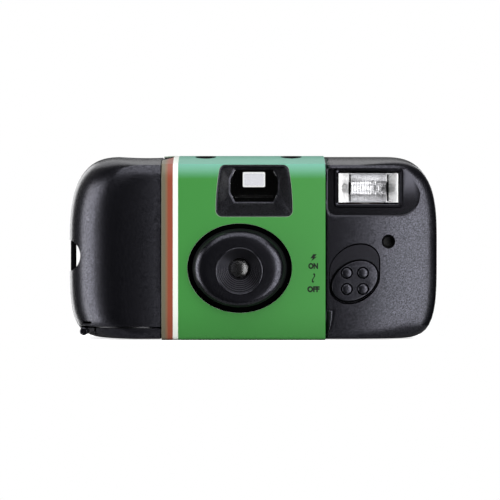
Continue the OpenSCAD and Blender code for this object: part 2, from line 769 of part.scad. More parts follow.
module counter_disc() color([0.9, 0.9, 0.88]) difference() {
    post(counter_x, counter_y, counter_z, counter_z + counter_t, counter_r);
    post(counter_x, counter_y, counter_z - 1, counter_z + 2, axle_r + pivot_fit);
    for (i = [0 : 12 : 359])
        translate([counter_x, counter_y, counter_z - 1]) rotate([0, 0, i])
            translate([counter_r, 0, 0]) cylinder(r = 0.35, h = 3);
}
module counter_window() color([0.8, 0.85, 0.85]) {
    z = top_at(window_y - window_r) - label_t - 0.9;
    post(window_x, window_y, z, z + 0.8, window_r);
}

// Inner frame: light box and film gate, the walls of both film chambers, the top deck and the wheel bearing
box_y = plate_y + plate_t;
box_wall = 1.2;
mouth_a = 4;
mouth_b = 3.4;
gate_x0 = lens_x - gate_w / 2 - 0.6;
gate_x1 = roll_x - roll_r - 1.6;
chamber_r = roll_r + 0.5;
chamber_t = 1;
cup_r = cart_r + gap;
cup_t = 1;
chamber_top = win_z0 - 0.9;
channel_w = finder_lens_w - 0.4;
module light_cone(grow, y0, y1) {
    front = [
        [lens_x - mouth_a - grow, lens_z - mouth_b - grow],
        [lens_x + mouth_a + grow, lens_z + mouth_b + grow]
    ];
    back = [
        [lens_x - gate_w / 2 - grow, film_z - gate_h / 2 - grow],
        [lens_x + gate_w / 2 + grow, film_z + gate_h / 2 + grow]];
    loft([for (s = [[front, y0], [back, y1]])
        let (a = s[0][0], b = s[0][1], y = s[1])
        [[a[0], y, a[1]], [b[0], y, a[1]], [b[0], y, b[1]], [a[0], y, b[1]]]]);
}
module main_frame() color([0.16, 0.16, 0.17]) difference() {
    union() {
        light_cone(box_wall, box_y, gate_y);
        box([lens_x - 10, box_y, base_low], [lens_x + 10, box_y + 1, lens_z + 10]);
        box([gate_x0, gate_y - gate_t, floor_z + 0.2], [gate_x1, gate_y, deck_z + deck_t]);
        box([gate_x0, gap - 1, deck_z], [gate_x1 + 1, gate_y, deck_z + deck_t]);
        // Wall between the cartridge and the light box
        difference() {
            intersection() {
                post(cart_x, cart_y, floor_z + 0.2, release_z - 2, cup_r + cup_t);
                translate([0, 0, floor_z]) linear_extrude(case_h) polygon([
                    [cart_x, cart_y], [cart_x + 17, cart_y - 30], [cart_x + 30, cart_y - 30],
                    [cart_x + 30, cart_y + 8]]);
            }
            post(cart_x, cart_y, 0, case_h, cup_r);
        }
        box([cart_x + cup_r + 0.2, cart_y + 1, floor_z + 0.2],
            [lens_x - gate_w / 2 + 7, cart_y + 2, release_z - 2]);
        // Film chamber
        difference() {
            post(roll_x, roll_y, floor_z + 0.2, chamber_top, chamber_r + chamber_t);
            post(roll_x, roll_y, film_z - film_w / 2 - 1.3, case_h, chamber_r);
            box([roll_x - 20, roll_y + 4.5, 0], [roll_x + 20, roll_y + 20, case_h]);
        }
        box([gate_x1 - 1, roll_y, floor_z + 0.2], [roll_x - chamber_r - 0.2, gate_y, chamber_top]);
        for (z = [10, board_z1 - 4]) bar_y(roll_x, board_y + board_t, roll_y - chamber_r, z, 1.5);
        // Counter axle, on a shoulder that the disc turns on
        post(counter_x, counter_y, deck_z, counter_z - 0.1, axle_r + 1);
        post(counter_x, counter_y, deck_z, counter_z + counter_t + 0.3, axle_r);
        // Finder channel
        for (side = [-1, 1])
            box([finder_x + side * channel_w / 2 - 0.4, finder_y + finder_lens_t + 0.2, deck_z],
                [finder_x + side * channel_w / 2 + 0.4, gate_y, finder_mid + finder_lens_h / 2]);
        // Bearing of the thumbwheel
        post(cart_x, cart_y, bearing_z, bearing_z + bearing_t, hub_r + 4);
        box([cart_x, cart_y - 4, bearing_z], [gate_x0 + 2.4, cart_y + 4, bearing_z + bearing_t]);
        box([gate_x0, cart_y - 4, deck_z], [gate_x0 + 2.4, cart_y + 4, bearing_z + bearing_t]);
    }
    light_cone(0, box_y - eps, gate_y + eps);
    bar_y(lens_x, box_y - 1, box_y + 2, lens_z, mouth_b);
    post(cart_x, cart_y, bearing_z - 1, bearing_z + 2, hub_r + pivot_fit);
    post(sprocket_x, sprocket_y, deck_z - 1, deck_z + 3, axle_r + pivot_fit);
    box([sprocket_x - tooth_r - gap, gate_y - 3, sprocket_z - sprocket_t],
        [sprocket_x + tooth_r + gap, gate_y + 1, deck_z]);
    post(roll_x, roll_y, floor_z - 1, film_z - film_w / 2, axle_r + pivot_fit);
    post(roll_x, roll_y, film_z - film_w / 2 - 1.3, deck_z, chamber_r);
}

module finder_front_lens() color([0.8, 0.86, 0.9]) {
    box([finder_x - finder_lens_w / 2, finder_y, finder_mid - finder_lens_h / 2],
        [finder_x + finder_lens_w / 2, finder_y + finder_lens_t, finder_mid + finder_lens_h / 2]);
}
module finder_eyepiece() color([0.8, 0.86, 0.9]) {
    box([finder_x - eyepiece_w / 2, inner_rear_y, eyepiece_z - eyepiece_h / 2],
        [finder_x + eyepiece_w / 2, rear_y - 0.5, eyepiece_z + eyepiece_h / 2]);
}
// Clear window with upright ribs on its inner face
module flash_window() color([0.85, 0.88, 0.9]) {
    ribs = 12;
    step = flash_win_w / ribs;
    box([win_x0, win_y, win_z0], [win_x0 + flash_win_w, win_y + win_t - 0.4, win_z0 + flash_win_h]);
    for (i = [0 : ribs - 1])
        box([win_x0 + (i + 0.25) * step, win_y + 0.5, win_z0],
            [win_x0 + (i + 0.75) * step, win_y + win_t, win_z0 + flash_win_h]);
}
// Trough of a curved section along X, open at the front, with end plates pierced for the tube
module flash_reflector() color([0.9, 0.9, 0.9]) difference() {
    sheet = 0.4;
    x0 = win_x0;
    x1 = win_x0 + flash_win_w;
    intersection() {
        difference() {
            translate([x0, tube_y - 1.4, tube_z]) rotate([0, 90, 0])
                cylinder(r = flash_win_h / 2, h = x1 - x0);
            translate([x0 + sheet, tube_y - 1.4, tube_z]) rotate([0, 90, 0])
                cylinder(r = flash_win_h / 2 - sheet, h = x1 - x0 - 2 * sheet);
        }
        box([x0, reflector_y, tube_z - 10], [x1, reflector_y + reflector_d, tube_z + 10]);
    }
    bar_x(x0 - 1, x1 + 1, tube_y, tube_z, tube_d / 2 + seat_fit);
}
module flash_tube() color([0.9, 0.95, 1]) {
    bar_x(win_x0 - 1, win_x0 + flash_win_w + 1, tube_y, tube_z, tube_d / 2);
}
module flash_electrodes() color([0.75, 0.75, 0.76]) {
    for (x = [win_x0 - 2.6, win_x0 + flash_win_w + 1]) {
        bar_x(x, x + 1.6, tube_y, tube_z, tube_d / 2 - 0.3);
        post(x + 0.8, tube_y, board_z1 - 1, tube_z, 0.4);
    }
}
module flash_board() color([0.55, 0.42, 0.2]) difference() {
    box([board_x0, board_y, board_z0], [board_x1, board_y + board_t, board_z1]);
    for (x = [win_x0 - 1.8, win_x0 + flash_win_w + 1.8]) post(x, tube_y, board_z1 - 1, case_h, 0.4);
}
module main_capacitor() color([0.12, 0.12, 0.14]) {
    z = floor_z + 6.9;
    post(cap_x, cap_y, z, z + cap_l, cap_d / 2);
    for (x = [-2, 2]) post(cap_x + x, cap_y, z + cap_l, z + cap_l + 3, 0.35);
}
coil_r = 2.6;
coil_h = 6;
coil_z = board_z1 - 2 - coil_h;
module transformer() color([0.3, 0.3, 0.32]) {
    core_w = 8;
    core_h = 9;
    core_t = 1;
    flange = 1.6;
    winding_r = 1.9;
    x = board_x1 - 1;
    y = board_y + board_t;
    z = coil_z - 11.8;
    back = y + core_t + 2 * winding_r + 0.6;
    box([x - core_w, y, z], [x, y + core_t, z + core_h]);
    for (end = [z, z + core_h - flange])
        box([x - core_w, y + core_t - eps, end], [x, back, end + flange]);
    wind_y = y + core_t + 0.3 + winding_r;
    post(x - core_w / 2, wind_y, z + flange - eps, z + core_h - flange + eps, winding_r);
}
module trigger_coil() color([0.6, 0.35, 0.15]) {
    post(board_x1 - 5, board_y + board_t + coil_r, coil_z, coil_z + coil_h, coil_r);
}
module pilot_lamp() color([0.95, 0.6, 0.3]) {
    post(board_x0 + 1.8, board_y - 1.4, board_z1 - 7, board_z1 - 2, 1.4);
}
// Bent clear rod that carries the lamp's light up to the top and rises with the switch
module light_pipe() color([0.95, 0.75, 0.5]) {
    y0 = pipe_arm_y;
    arm_low = switch_z - pipe_arm / 2;
    box([pipe_x - pipe_r, y0, arm_low], [switch_x + stem_h / 2, y0 + 1.1, arm_low + pipe_arm]);
    box([pipe_x - pipe_r, y0, arm_low], [pipe_x + pipe_r, pipe_y, arm_low + pipe_arm]);
    post(pipe_x, pipe_y, arm_low, pipe_top, pipe_r);
    post(pipe_x, pipe_y, pipe_top - 4, pipe_top, pipe_head_r);
}
module flash_switch() color([0.1, 0.1, 0.11]) {
    top_y = track_y - slide_fit - switch_t;
    half = stem_h / 2;
    on_panel() {
        slab(top_y, track_y - slide_fit) translate([switch_x, switch_z]) polygon(switch_oval(0, 0));
        for (i = [-1, 1], j = [-1, 1])
            translate([switch_x + i * dot_pitch / 2, top_y + eps, switch_z + j * dot_pitch / 2])
                rotate([90, 0, 0]) cylinder(d1 = dot_d, d2 = dot_d - dot_taper, h = dot_h);
    }
    box([switch_x - half, track_y - slide_fit - eps, switch_z - half],
        [switch_x + half, pipe_arm_y, switch_z + half]);
}
module switch_contact() color([0.8, 0.65, 0.35]) {
    box([switch_x - 1.5, board_y - 0.3, switch_z - 6], [switch_x + 1.5, board_y, switch_z + 4]);
    box([switch_x - 1.5, board_y - 0.8, switch_z - 6], [switch_x + 1.5, board_y - 0.3, switch_z - 5.2]);
}
module sync_contact() color([0.8, 0.65, 0.35]) {
    box([base_right - 2.6, plate_y - 1.6, lens_z + 4], [base_right - 1.4, plate_y, lens_z + 4.4]);
    box([base_right - 2.6, plate_y - 0.4, lens_z - 4], [base_right - 1.4, plate_y, lens_z + 4.2]);
}
module battery() color([0.75, 0.76, 0.78]) {
    bar_x(cell_x0, cell_x0 + cell_l, cell_y, cell_z, cell_d / 2);
    bar_x(cell_x0 + cell_l - eps, cell_x0 + cell_l + 1, cell_y, cell_z, 1.9);
}
module contact_leaf(x) {
    box([x, cell_y - 3.2, cell_z - 3.6], [x + 0.4, cell_y + 2, cell_z + 4.4]);
}
module battery_contact_plus() color([0.8, 0.65, 0.35]) contact_leaf(cell_x0 + cell_l + 1);
module battery_contact_minus() color([0.8, 0.65, 0.35]) {
    contact_leaf(cell_x0 - 1);
    bar_x(cell_x0 - 0.61, cell_x0, cell_y, cell_z, 1.6);
}

// Flap in the base at the cartridge end, with a lip round the grip and a knob that frees its latch
module cartridge_door() color([0.1, 0.1, 0.11]) {
    knob_r = 1.1;
    difference() {
        intersection() {
            case_solid(label_t);
            union() {
                box([door_x0, front_y, 0], [hinge_x, back_y, label_t + door_t]);
                difference() {
                    box([door_x0, front_y, 0], [hinge_x, door_wrap_y, door_lip]);
                    case_solid(label_t + wall);
                }
            }
        }
        cartridge_room();
    }
    bar_y(hinge_x, front_y + base_round + label_t, back_y - base_round - label_t, hinge_z, door_t / 2);
    bar_y(door_x0 + 1.3, door_wrap_y - 5, door_wrap_y - 1, label_t + 1.9, knob_r);
}

front_cover();
back_cover();
label_band();
lens_bezel();
taking_lens();
aperture_plate();
shutter_base();
shutter_blade();
drive_lever();
drive_spring();
release_lever();
shutter_button();
thumbwheel();
cartridge_shell();
cartridge_caps();
cartridge_spool();
film_strip();
film_roll();
supply_spool();
sprocket();
counter_disc();
counter_window();
main_frame();
finder_front_lens();
finder_eyepiece();
flash_window();
flash_reflector();
flash_tube();
flash_electrodes();
flash_board();
main_capacitor();
transformer();
trigger_coil();
pilot_lamp();
light_pipe();
flash_switch();
switch_contact();
sync_contact();
battery();
battery_contact_plus();
battery_contact_minus();
cartridge_door();
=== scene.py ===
"""Looks of a single-use 35 mm film camera with flash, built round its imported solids."""
import json
import math

import bmesh
import bpy
from mathutils import Matrix, Vector


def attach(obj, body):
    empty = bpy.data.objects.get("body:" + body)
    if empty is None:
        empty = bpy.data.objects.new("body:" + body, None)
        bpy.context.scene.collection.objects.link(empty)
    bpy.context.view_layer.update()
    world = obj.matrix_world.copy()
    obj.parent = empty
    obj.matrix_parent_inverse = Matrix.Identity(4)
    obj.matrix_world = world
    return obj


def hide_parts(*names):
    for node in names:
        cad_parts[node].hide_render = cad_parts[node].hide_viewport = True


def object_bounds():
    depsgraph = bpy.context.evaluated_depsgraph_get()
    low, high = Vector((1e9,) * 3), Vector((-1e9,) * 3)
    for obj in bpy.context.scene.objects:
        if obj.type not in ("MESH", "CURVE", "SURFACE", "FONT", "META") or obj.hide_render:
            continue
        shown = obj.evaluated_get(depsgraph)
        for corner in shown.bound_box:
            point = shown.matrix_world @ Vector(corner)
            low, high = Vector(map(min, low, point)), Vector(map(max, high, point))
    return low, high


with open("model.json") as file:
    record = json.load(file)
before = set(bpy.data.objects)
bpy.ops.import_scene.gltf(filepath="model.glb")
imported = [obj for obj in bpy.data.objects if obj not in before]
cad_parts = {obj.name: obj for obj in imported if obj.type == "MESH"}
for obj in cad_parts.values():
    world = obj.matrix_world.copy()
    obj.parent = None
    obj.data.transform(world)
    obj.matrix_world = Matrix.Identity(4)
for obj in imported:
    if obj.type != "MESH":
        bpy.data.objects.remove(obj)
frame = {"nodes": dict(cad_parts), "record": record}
cad_low, cad_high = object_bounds()
scene = bpy.context.scene
scene.view_settings.view_transform = "Standard"

# Lengths below are in millimetres, in the frame of the solids
MM = 0.001
HALF_W = cad_high[0] / MM
CASE_H = cad_high[2] / MM
BACK_Y = cad_high[1] / MM
BEZEL_Y = cad_low[1] / MM
FRONT_Y = -12.5
SPLIT_Y = 1.0
WALL = 1.4
LABEL_T = 0.3
CASE_D = BACK_Y - FRONT_Y
SKIN_Y = FRONT_Y + LABEL_T
REAR_Y = BACK_Y - LABEL_T
INNER = LABEL_T + WALL

# Forms of the case
MID_Z = 28.0
CORNER_RUN = 16.0
LEFT_N, RIGHT_N, BASE_N = 2.8, 3.1, 4.5
GRIP_ROLL, GRIP_DEPTH = 16.2, 15.0
GRIP_SWELL, GRIP_RADIUS = 0.9, 74.0
RIGHT_ROLL, RIGHT_DEPTH = 32.0, 6.0
BACK_ROUND, BASE_ROUND = 2.5, 1.0
FOLD_DEPTH, FOLD_DROP, SHOULDER_H = 1.2, 3.0, 4.8
CREST_Y, BACK_DROP = 4.0, 1.2
SEAM = 0.12

# Parts in the case
LABEL_LEFT, LABEL_RIGHT = -26.2, 21.2
LENS_X, LENS_Z = -3.6, 20.8
BEZEL_A, BEZEL_B, BEZEL_GAP = 13.7, 11.5, 1.4
PLUG_R, FACE_R, LENS_R, LENS_Y = 9.0, 6.9, 3.4, -12.5
FINDER_X, FINDER_TOP, FINDER_BOTTOM = 0.6, 50.7, 35.65
FINDER_TOP_W, FINDER_BOTTOM_W = 19.6, 22.2
FINDER_MID, FINDER_Y = 44.8, -5.8
FINDER_W, FINDER_H, FINDER_T = 14.2, 9.6, 1.2
EYE_Z, EYE_W, EYE_H, EYE_ROUND = 47.4, 7.4, 5.2, 0.5
FLASH_LEFT, FLASH_BOTTOM, FLASH_TOP, FLASH_FLOOR = 21.7, 35.95, 49.75, -9.1
FLASH_RIGHT, FLASH_CORNERS = 49.0, (2.6, 6.5, 4.5, 0.6)
WIN_X, WIN_Z, WIN_W, WIN_H, WIN_Y = 25.3, 39.85, 17.1, 8.6, -10.2
SENSOR_X, SENSOR_Z, SENSOR_R = 39.6, 28.5, 1.8
SWITCH_X, SWITCH_Z, SWITCH_A, SWITCH_B = 29.7, 17.1, 7.4, 5.5
SWITCH_TILT, SWITCH_TRAVEL = math.radians(32), 4.2
BUTTON_X, BUTTON_Y, BUTTON_R = -31.2, -1.0, 5.3
DISH_R, DISH_DEPTH = 8.5, 1.3
COUNT_X, COUNT_Y, COUNT_R = -13.6, -2.6, 2.8
PIPE_X, PIPE_Y, PIPE_R = 11.5, -2.4, 1.8
CART_X, CART_Y = -35.4, 2.6
WHEEL_Z, WHEEL_TOP, WHEEL_R, WHEEL_RIBS = 45.9, 48.2, 12.2, 44
SCOOP_R, SCOOP_DEPTH = 12.0, 2.8
STRAP_X, STRAP_Z, STRAP_R, STRAP_BAR, STRAP_BAR_D = -54.75, 24.4, 4.7, 1.5, 3.0
DOOR_X0, DOOR_X1, DOOR_T, DOOR_LIP, DOOR_WRAP_Y = -50.0, -26.5, 0.9, 3.4, -3.0
FIT = 0.3

# Where cutters start and end, clear of what they cut
CUT_FRONT, CUT_END, CUT_TOP = FRONT_Y - 4, SPLIT_Y - 3, CASE_H + 2


def clamp01(u):
    return max(0.0, min(1.0, u))


def smooth_step(low, high, u):
    t = clamp01((u - low) / (high - low))
    return t * t * (3 - 2 * t)


def ease(u):
    return 1 - math.sqrt(1 - clamp01(u) ** 2)


def back_ease(y):
    return ease((y - BACK_Y + BACK_ROUND) / BACK_ROUND)


def inset_left(y):
    return GRIP_ROLL * ease((FRONT_Y + GRIP_DEPTH - y) / GRIP_DEPTH) + BACK_ROUND * back_ease(y)


def inset_right(y):
    return RIGHT_ROLL * ease((FRONT_Y + RIGHT_DEPTH - y) / RIGHT_DEPTH) + BACK_ROUND * back_ease(y)


def bottom_at(y):
    return BASE_ROUND * (ease((FRONT_Y + BASE_ROUND - y) / BASE_ROUND)
                         + ease((y - BACK_Y + BASE_ROUND) / BASE_ROUND))


def top_at(y):
    fold_y = FRONT_Y + FOLD_DEPTH
    if y <= fold_y:
        rise = math.sqrt(max(0.0, y - FRONT_Y) / FOLD_DEPTH)
        return CASE_H - FOLD_DROP - SHOULDER_H * (1 - rise)
    if y <= CREST_Y:
        return CASE_H - FOLD_DROP * ((CREST_Y - y) / (CREST_Y - fold_y)) ** 2
    return CASE_H - BACK_DROP * ((y - CREST_Y) / (BACK_Y - CREST_Y)) ** 2 - BACK_ROUND * back_ease(y)


def swell(x, y):
    """How far the left grip stands in front of the plane of the label."""
    ridge_x = GRIP_ROLL - HALF_W
    fade = clamp01(1 - (y - FRONT_Y) / GRIP_DEPTH)
    if x < ridge_x:
        return GRIP_SWELL * fade
    return max(0.0, GRIP_SWELL - (x - ridge_x) ** 2 / (2 * GRIP_RADIUS)) * fade


def panel_y(x):
    """Depth of the bare front face right of the label, away from its top and bottom edges."""
    u = clamp01((x - HALF_W + RIGHT_ROLL) / RIGHT_ROLL)
    return SKIN_Y + RIGHT_DEPTH * ease(u)


def panel_turn(x):
    """Angle by which the front face right of the label is turned at x."""
    step = 0.5
    return math.atan2(panel_y(x + step) - panel_y(x - step), 2 * step)


def dish_sag(x, y):
    """How much lower the inside of the top lies under the dish."""
    fade = 3
    reach = math.hypot(x - BUTTON_X, y - BUTTON_Y)
    return DISH_DEPTH * (1 - smooth_step(DISH_R, DISH_R + fade, reach))


def strap_sag(x, z):
    """How much further in the inside of the left wall lies behind the strap notch."""
    depth, reach, fade = 4.0, STRAP_R + 1.4, 2.5
    full, none = 6, 12
    near_edge = 1 - smooth_step(-HALF_W + full, -HALF_W + none, x)
    return depth * near_edge * (1 - smooth_step(reach, reach + fade, abs(z - STRAP_Z)))


def flash_side(x):
    """0 behind the band and 1 behind the flash, where the front wall is thicker."""
    none, full = LABEL_RIGHT - 12, LABEL_RIGHT - 8
    return smooth_step(none, full, x)


def corner(n, high, steps=22):
    """A quarter of a superellipse with the exponent n."""
    points = []
    for i in range(steps + 1):
        t = math.pi / 2 * i / steps
        r = (math.cos(t) ** n + math.sin(t) ** n) ** (-1 / n)
        points.append((HALF_W - CORNER_RUN + CORNER_RUN * r * math.cos(t), high * r * math.sin(t)))
    return points


def spread(a, b, n):
    """Points between a and b, without its ends."""
    return [tuple(a[k] + (b[k] - a[k]) * i / n for k in range(2)) for i in range(1, n)]


def outline():
    right = corner(RIGHT_N, CASE_H - MID_Z)
    left = [(-x, z) for x, z in reversed(corner(LEFT_N, CASE_H - MID_Z))]
    low_left = [(-x, -z) for x, z in corner(BASE_N, MID_Z)][1:]
    low_right = [(x, -z) for x, z in reversed(corner(BASE_N, MID_Z))][:-1]
    across = 40
    return (right + spread(right[-1], left[0], across) + left
            + low_left + spread(low_left[-1], low_right[0], across) + low_right)


OUTLINE = outline()


def station(y, off):
    return FRONT_Y + off + (y - FRONT_Y) * (CASE_D - 2 * off) / CASE_D


def depth_for(y, off):
    return FRONT_Y + (y - FRONT_Y - off) * CASE_D / (CASE_D - 2 * off)


def case_ring(y, off, thicken=0.0):
    """The outline drawn in to the depth y of the outer form and moved in by off."""
    side_off = off - LABEL_T
    right = (HALF_W - inset_right(y) - side_off) / HALF_W
    left = (HALF_W - inset_left(y) - side_off) / HALF_W
    rise = (top_at(y) - off - MID_Z) / (CASE_H - MID_Z)
    fall = (MID_Z - bottom_at(y) - off) / MID_Z
    at = station(y, off)
    ring = []
    for px, pz in OUTLINE:
        x = px * (right if px > 0 else left)
        z = MID_Z + pz * (rise if pz > 0 else fall)
        if off > WALL:
            z -= dish_sag(x, at) if pz > 0 else 0.0
            x += strap_sag(x, z)
        ring.append((x, at - swell(x, y) + thicken * flash_side(x), z))
    return ring


def cap_rings(ring, y, steps=22):
    """Rings from the middle of a face out to its edge, at the depth that y gives for each x."""
    mid_x = (min(p[0] for p in ring) + max(p[0] for p in ring)) / 2
    mid_z = (min(p[2] for p in ring) + max(p[2] for p in ring)) / 2
    rings = []
    for k in range(1, steps):
        s = k / steps
        points = [(mid_x + (p[0] - mid_x) * s, mid_z + (p[2] - mid_z) * s) for p in ring]
        rings.append([(x, y(x), z) for x, z in points])
    return rings


# Mesh tools
def new_object(name, points, faces, *materials):
    mesh = bpy.data.meshes.new(name)
    mesh.from_pydata([tuple(MM * c for c in p) for p in points], [], faces)
    for material in materials:
        mesh.materials.append(material)
    build = bmesh.new()
    build.from_mesh(mesh)
    bmesh.ops.recalc_face_normals(build, faces=build.faces)
    build.to_mesh(mesh)
    build.free()
    obj = bpy.data.objects.new(name, mesh)
    scene.collection.objects.link(obj)
    return obj


def loft(name, rings, *materials, closed=False):
    """A skin through rings of equal counts, capped at both ends or joined end to start."""
    n = len(rings[0])
    last = len(rings) - 1
    faces = []
    for k in range(len(rings) if closed else last):
        a, b = k * n, (k + 1) % len(rings) * n
        faces += [(a + i, a + (i + 1) % n, b + (i + 1) % n, b + i) for i in range(n)]
    if not closed:
        faces += [tuple(range(n)), tuple(range(last * n, last * n + n))]
    return new_object(name, [p for ring in rings for p in ring], faces, *materials)


def turns(steps):
    """Angles of equal steps round a full turn."""
    return [2 * math.pi * i / steps for i in range(steps)]


def oval_ring(x, z, y, a, b, steps=96):
    return [(x + a * math.cos(t), y, z + b * math.sin(t)) for t in turns(steps)]


def level_ring(x, y, z, r, steps=64):
    return [(x + r * math.cos(t), y + r * math.sin(t), z) for t in turns(steps)]


def rounded(points, radius, steps=6):
    """A closed outline with its corners rounded."""
    result = []
    for i, p in enumerate(points):
        p = Vector(p)
        a = (Vector(points[i - 1]) - p).normalized()
        b = (Vector(points[(i + 1) % len(points)]) - p).normalized()
        half = math.acos(max(-1.0, min(1.0, a.dot(b)))) / 2
        centre = p + (a + b).normalized() * radius / math.sin(half)
        start = p + a * radius / math.tan(half) - centre
        stop = p + b * radius / math.tan(half) - centre
        for k in range(steps + 1):
            arm = start.normalized().slerp(stop.normalized(), k / steps) * radius
            result.append(tuple(centre + arm))
    return result


def box_points(x0, x1, z0, z1):
    return [(x0, z0), (x1, z0), (x1, z1), (x0, z1)]


def at_depth(points, y):
    """Points of a front view at a depth, which may be a function of the point."""
    return [(x, y(x, z) if callable(y) else y, z) for x, z in points]


def block(name, low, high, *materials):
    x0, y0, z0 = low
    x1, y1, z1 = high
    return loft(name, [at_depth(box_points(x0, x1, z0, z1), y) for y in (y0, y1)], *materials)


def apply_modifiers(obj):
    graph = bpy.context.evaluated_depsgraph_get()
    mesh = bpy.data.meshes.new_from_object(obj.evaluated_get(graph))
    obj.modifiers.clear()
    obj.data = mesh


def combine(obj, operation, others):
    for other in others:
        modifier = obj.modifiers.new("combine", "BOOLEAN")
        modifier.operation = operation
        modifier.solver = "EXACT"
        modifier.material_mode = "TRANSFER"
        modifier.object = other
        other.hide_render = True
    apply_modifiers(obj)
    for other in others:
        bpy.data.objects.remove(other)


def cut(obj, *cutters):
    combine(obj, "DIFFERENCE", cutters)


def smooth(obj, angle=32):
    obj.data.shade_smooth()
    obj.data.set_sharp_from_angle(angle=math.radians(angle))


def paint(obj, look, chosen):
    """Give a look to the faces that chosen picks by their centre in millimetres and by the face itself."""
    obj.data.materials.append(look)
    index = len(obj.data.materials) - 1
    for face in obj.data.polygons:
        if chosen(face.center / MM, face):
            face.material_index = index


def soften(obj, width, segments=2):
    modifier = obj.modifiers.new("soften", "BEVEL")
    modifier.width = width * MM
    modifier.segments = segments
    modifier.limit_method = "ANGLE"
    modifier.harden_normals = False
    apply_modifiers(obj)


def place(obj, body, slot, *nodes):
    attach(obj, body)
    if nodes:
        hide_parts(*nodes)


# Materials
def linear(*levels):
    """Linear colour from display levels of 0 to 255."""
    most, toe, slope, shift, power = 255, 0.04045, 12.92, 0.055, 2.4
    shares = [v / most for v in levels]
    return tuple(s / slope if s <= toe else ((s + shift) / (1 + shift)) ** power for s in shares)


def adjust(node, values):
    """Set inputs of a shader node by their names."""
    for name, value in values.items():
        node.inputs[name].default_value = value


def map_range(tree, output, low, high, to_low=0.0, to_high=1.0):
    """A node that turns values from low to high into values from to_low to to_high."""
    node = tree.nodes.new("ShaderNodeMapRange")
    adjust(node, {"From Min": low, "From Max": high, "To Min": to_low, "To Max": to_high})
    tree.links.new(output, node.inputs["Value"])
    return node.outputs["Result"]


def material(name, colour, rough, metal=0.0, clear=0.0, ior=1.5, specular=0.5, tint=(1, 1, 1)):
    result = bpy.data.materials.new(name)
    result.use_nodes = True
    adjust(result.node_tree.nodes["Principled BSDF"], {
        "Base Color": (*colour, 1), "Roughness": rough, "Metallic": metal, "Transmission Weight": clear,
        "IOR": ior, "Specular IOR Level": specular, "Specular Tint": (*tint, 1)})
    return result


def grain(target, size, depth, glint=0.0):
    """Fine moulded texture with bumps of about that size and depth, and a shine that varies by glint."""
    nodes, links = target.node_tree.nodes, target.node_tree.links
    where = nodes.new("ShaderNodeTexCoord")
    noise = nodes.new("ShaderNodeTexNoise")
    adjust(noise, {"Scale": 1 / (size * MM), "Detail": 2})
    bump = nodes.new("ShaderNodeBump")
    adjust(bump, {"Strength": 1, "Distance": depth * MM})
    links.new(where.outputs["Object"], noise.inputs["Vector"])
    links.new(noise.outputs["Fac"], bump.inputs["Height"])
    links.new(bump.outputs["Normal"], nodes["Principled BSDF"].inputs["Normal"])
    if glint:
        darkest, lightest, usual = 0.3, 0.7, 0.5
        shine = map_range(target.node_tree, noise.outputs["Fac"], darkest, lightest, usual - glint,
                          usual + glint)
        links.new(shine, nodes["Principled BSDF"].inputs["Specular IOR Level"])
    return target


def striped_card():
    """Printed card: upright bands of colour, the widest one blended towards the top into a paler copy that
    is a painted sheen.
    """
    result = grain(material("label_card", (1, 1, 1), rough=0.36, specular=0.5), size=0.6, depth=0.001)
    nodes, links = result.node_tree.nodes, result.node_tree.links
    where = nodes.new("ShaderNodeTexCoord")
    split = nodes.new("ShaderNodeSeparateXYZ")
    links.new(where.outputs["Object"], split.inputs["Vector"])

    def spot(axis, low, high):
        return map_range(result.node_tree, split.outputs[axis], low * MM, high * MM)

    def bands(last):
        ramp = nodes.new("ShaderNodeValToRGB")
        stops = ramp.color_ramp.elements
        stops[0].color = (*STRIPES[0][1], 1)
        stops[1].color = (*last, 1)
        for x, colour in STRIPES[1:] + ((GREEN_LEFT, last),):
            stop = stops.new((x - LABEL_LEFT) / (STRIPE_END - LABEL_LEFT))
            stop.color = (*colour, 1)
        links.new(spot("X", LABEL_LEFT, STRIPE_END), ramp.inputs["Fac"])
        return ramp.outputs["Color"]

    # Towards the top the bands blend into paler copies: a painted sheen on the shoulder and top.
    blend = nodes.new("ShaderNodeMix")
    blend.data_type = "RGBA"
    links.new(spot("Z", *SHEEN_BAND), blend.inputs["Factor"])
    links.new(bands(CARD_GREEN), blend.inputs["A"])
    links.new(bands(CARD_SHEEN), blend.inputs["B"])
    links.new(blend.outputs["Result"], nodes["Principled BSDF"].inputs["Base Color"])
    return result


def thin_clear(name, sheen):
    """Thin clear sheet: light passes straight through it and a little is reflected."""
    result = bpy.data.materials.new(name)
    result.use_nodes = True
    nodes, links = result.node_tree.nodes, result.node_tree.links
    nodes.remove(nodes["Principled BSDF"])
    through = nodes.new("ShaderNodeBsdfTransparent")
    shine = nodes.new("ShaderNodeBsdfGlossy")
    shine.inputs["Roughness"].default_value = PANE_ROUGH
    mix = nodes.new("ShaderNodeMixShader")
    mix.inputs["Fac"].default_value = sheen
    links.new(through.outputs[0], mix.inputs[1])
    links.new(shine.outputs[0], mix.inputs[2])
    links.new(mix.outputs[0], nodes["Material Output"].inputs["Surface"])
    return result


INK, PANE_ROUGH = 0.6, 0.05


def ink(*levels):
    """Colour of a print that shows about these levels in the light of the scene."""
    return tuple(INK * c for c in linear(*levels))


CARD_TAN, CARD_BROWN = ink(108, 102, 82), ink(136, 94, 64)
CARD_RED, CARD_WHITE, CARD_GREEN = ink(148, 66, 40), ink(240, 246, 238), ink(56, 140, 56)
STRIPE_END = -19.0
STRIPES = ((LABEL_LEFT, CARD_TAN), (-25.3, CARD_TAN), (-24.6, CARD_BROWN), (-24.2, CARD_RED),
           (-22.95, CARD_RED), (-22.85, CARD_WHITE), (-21.45, CARD_WHITE))
GREEN_LEFT = -21.35
# Paler green and the heights where it blends in: a painted sheen, not print.
CARD_SHEEN, SHEEN_BAND = ink(95, 172, 148), (46.6, 50.8)

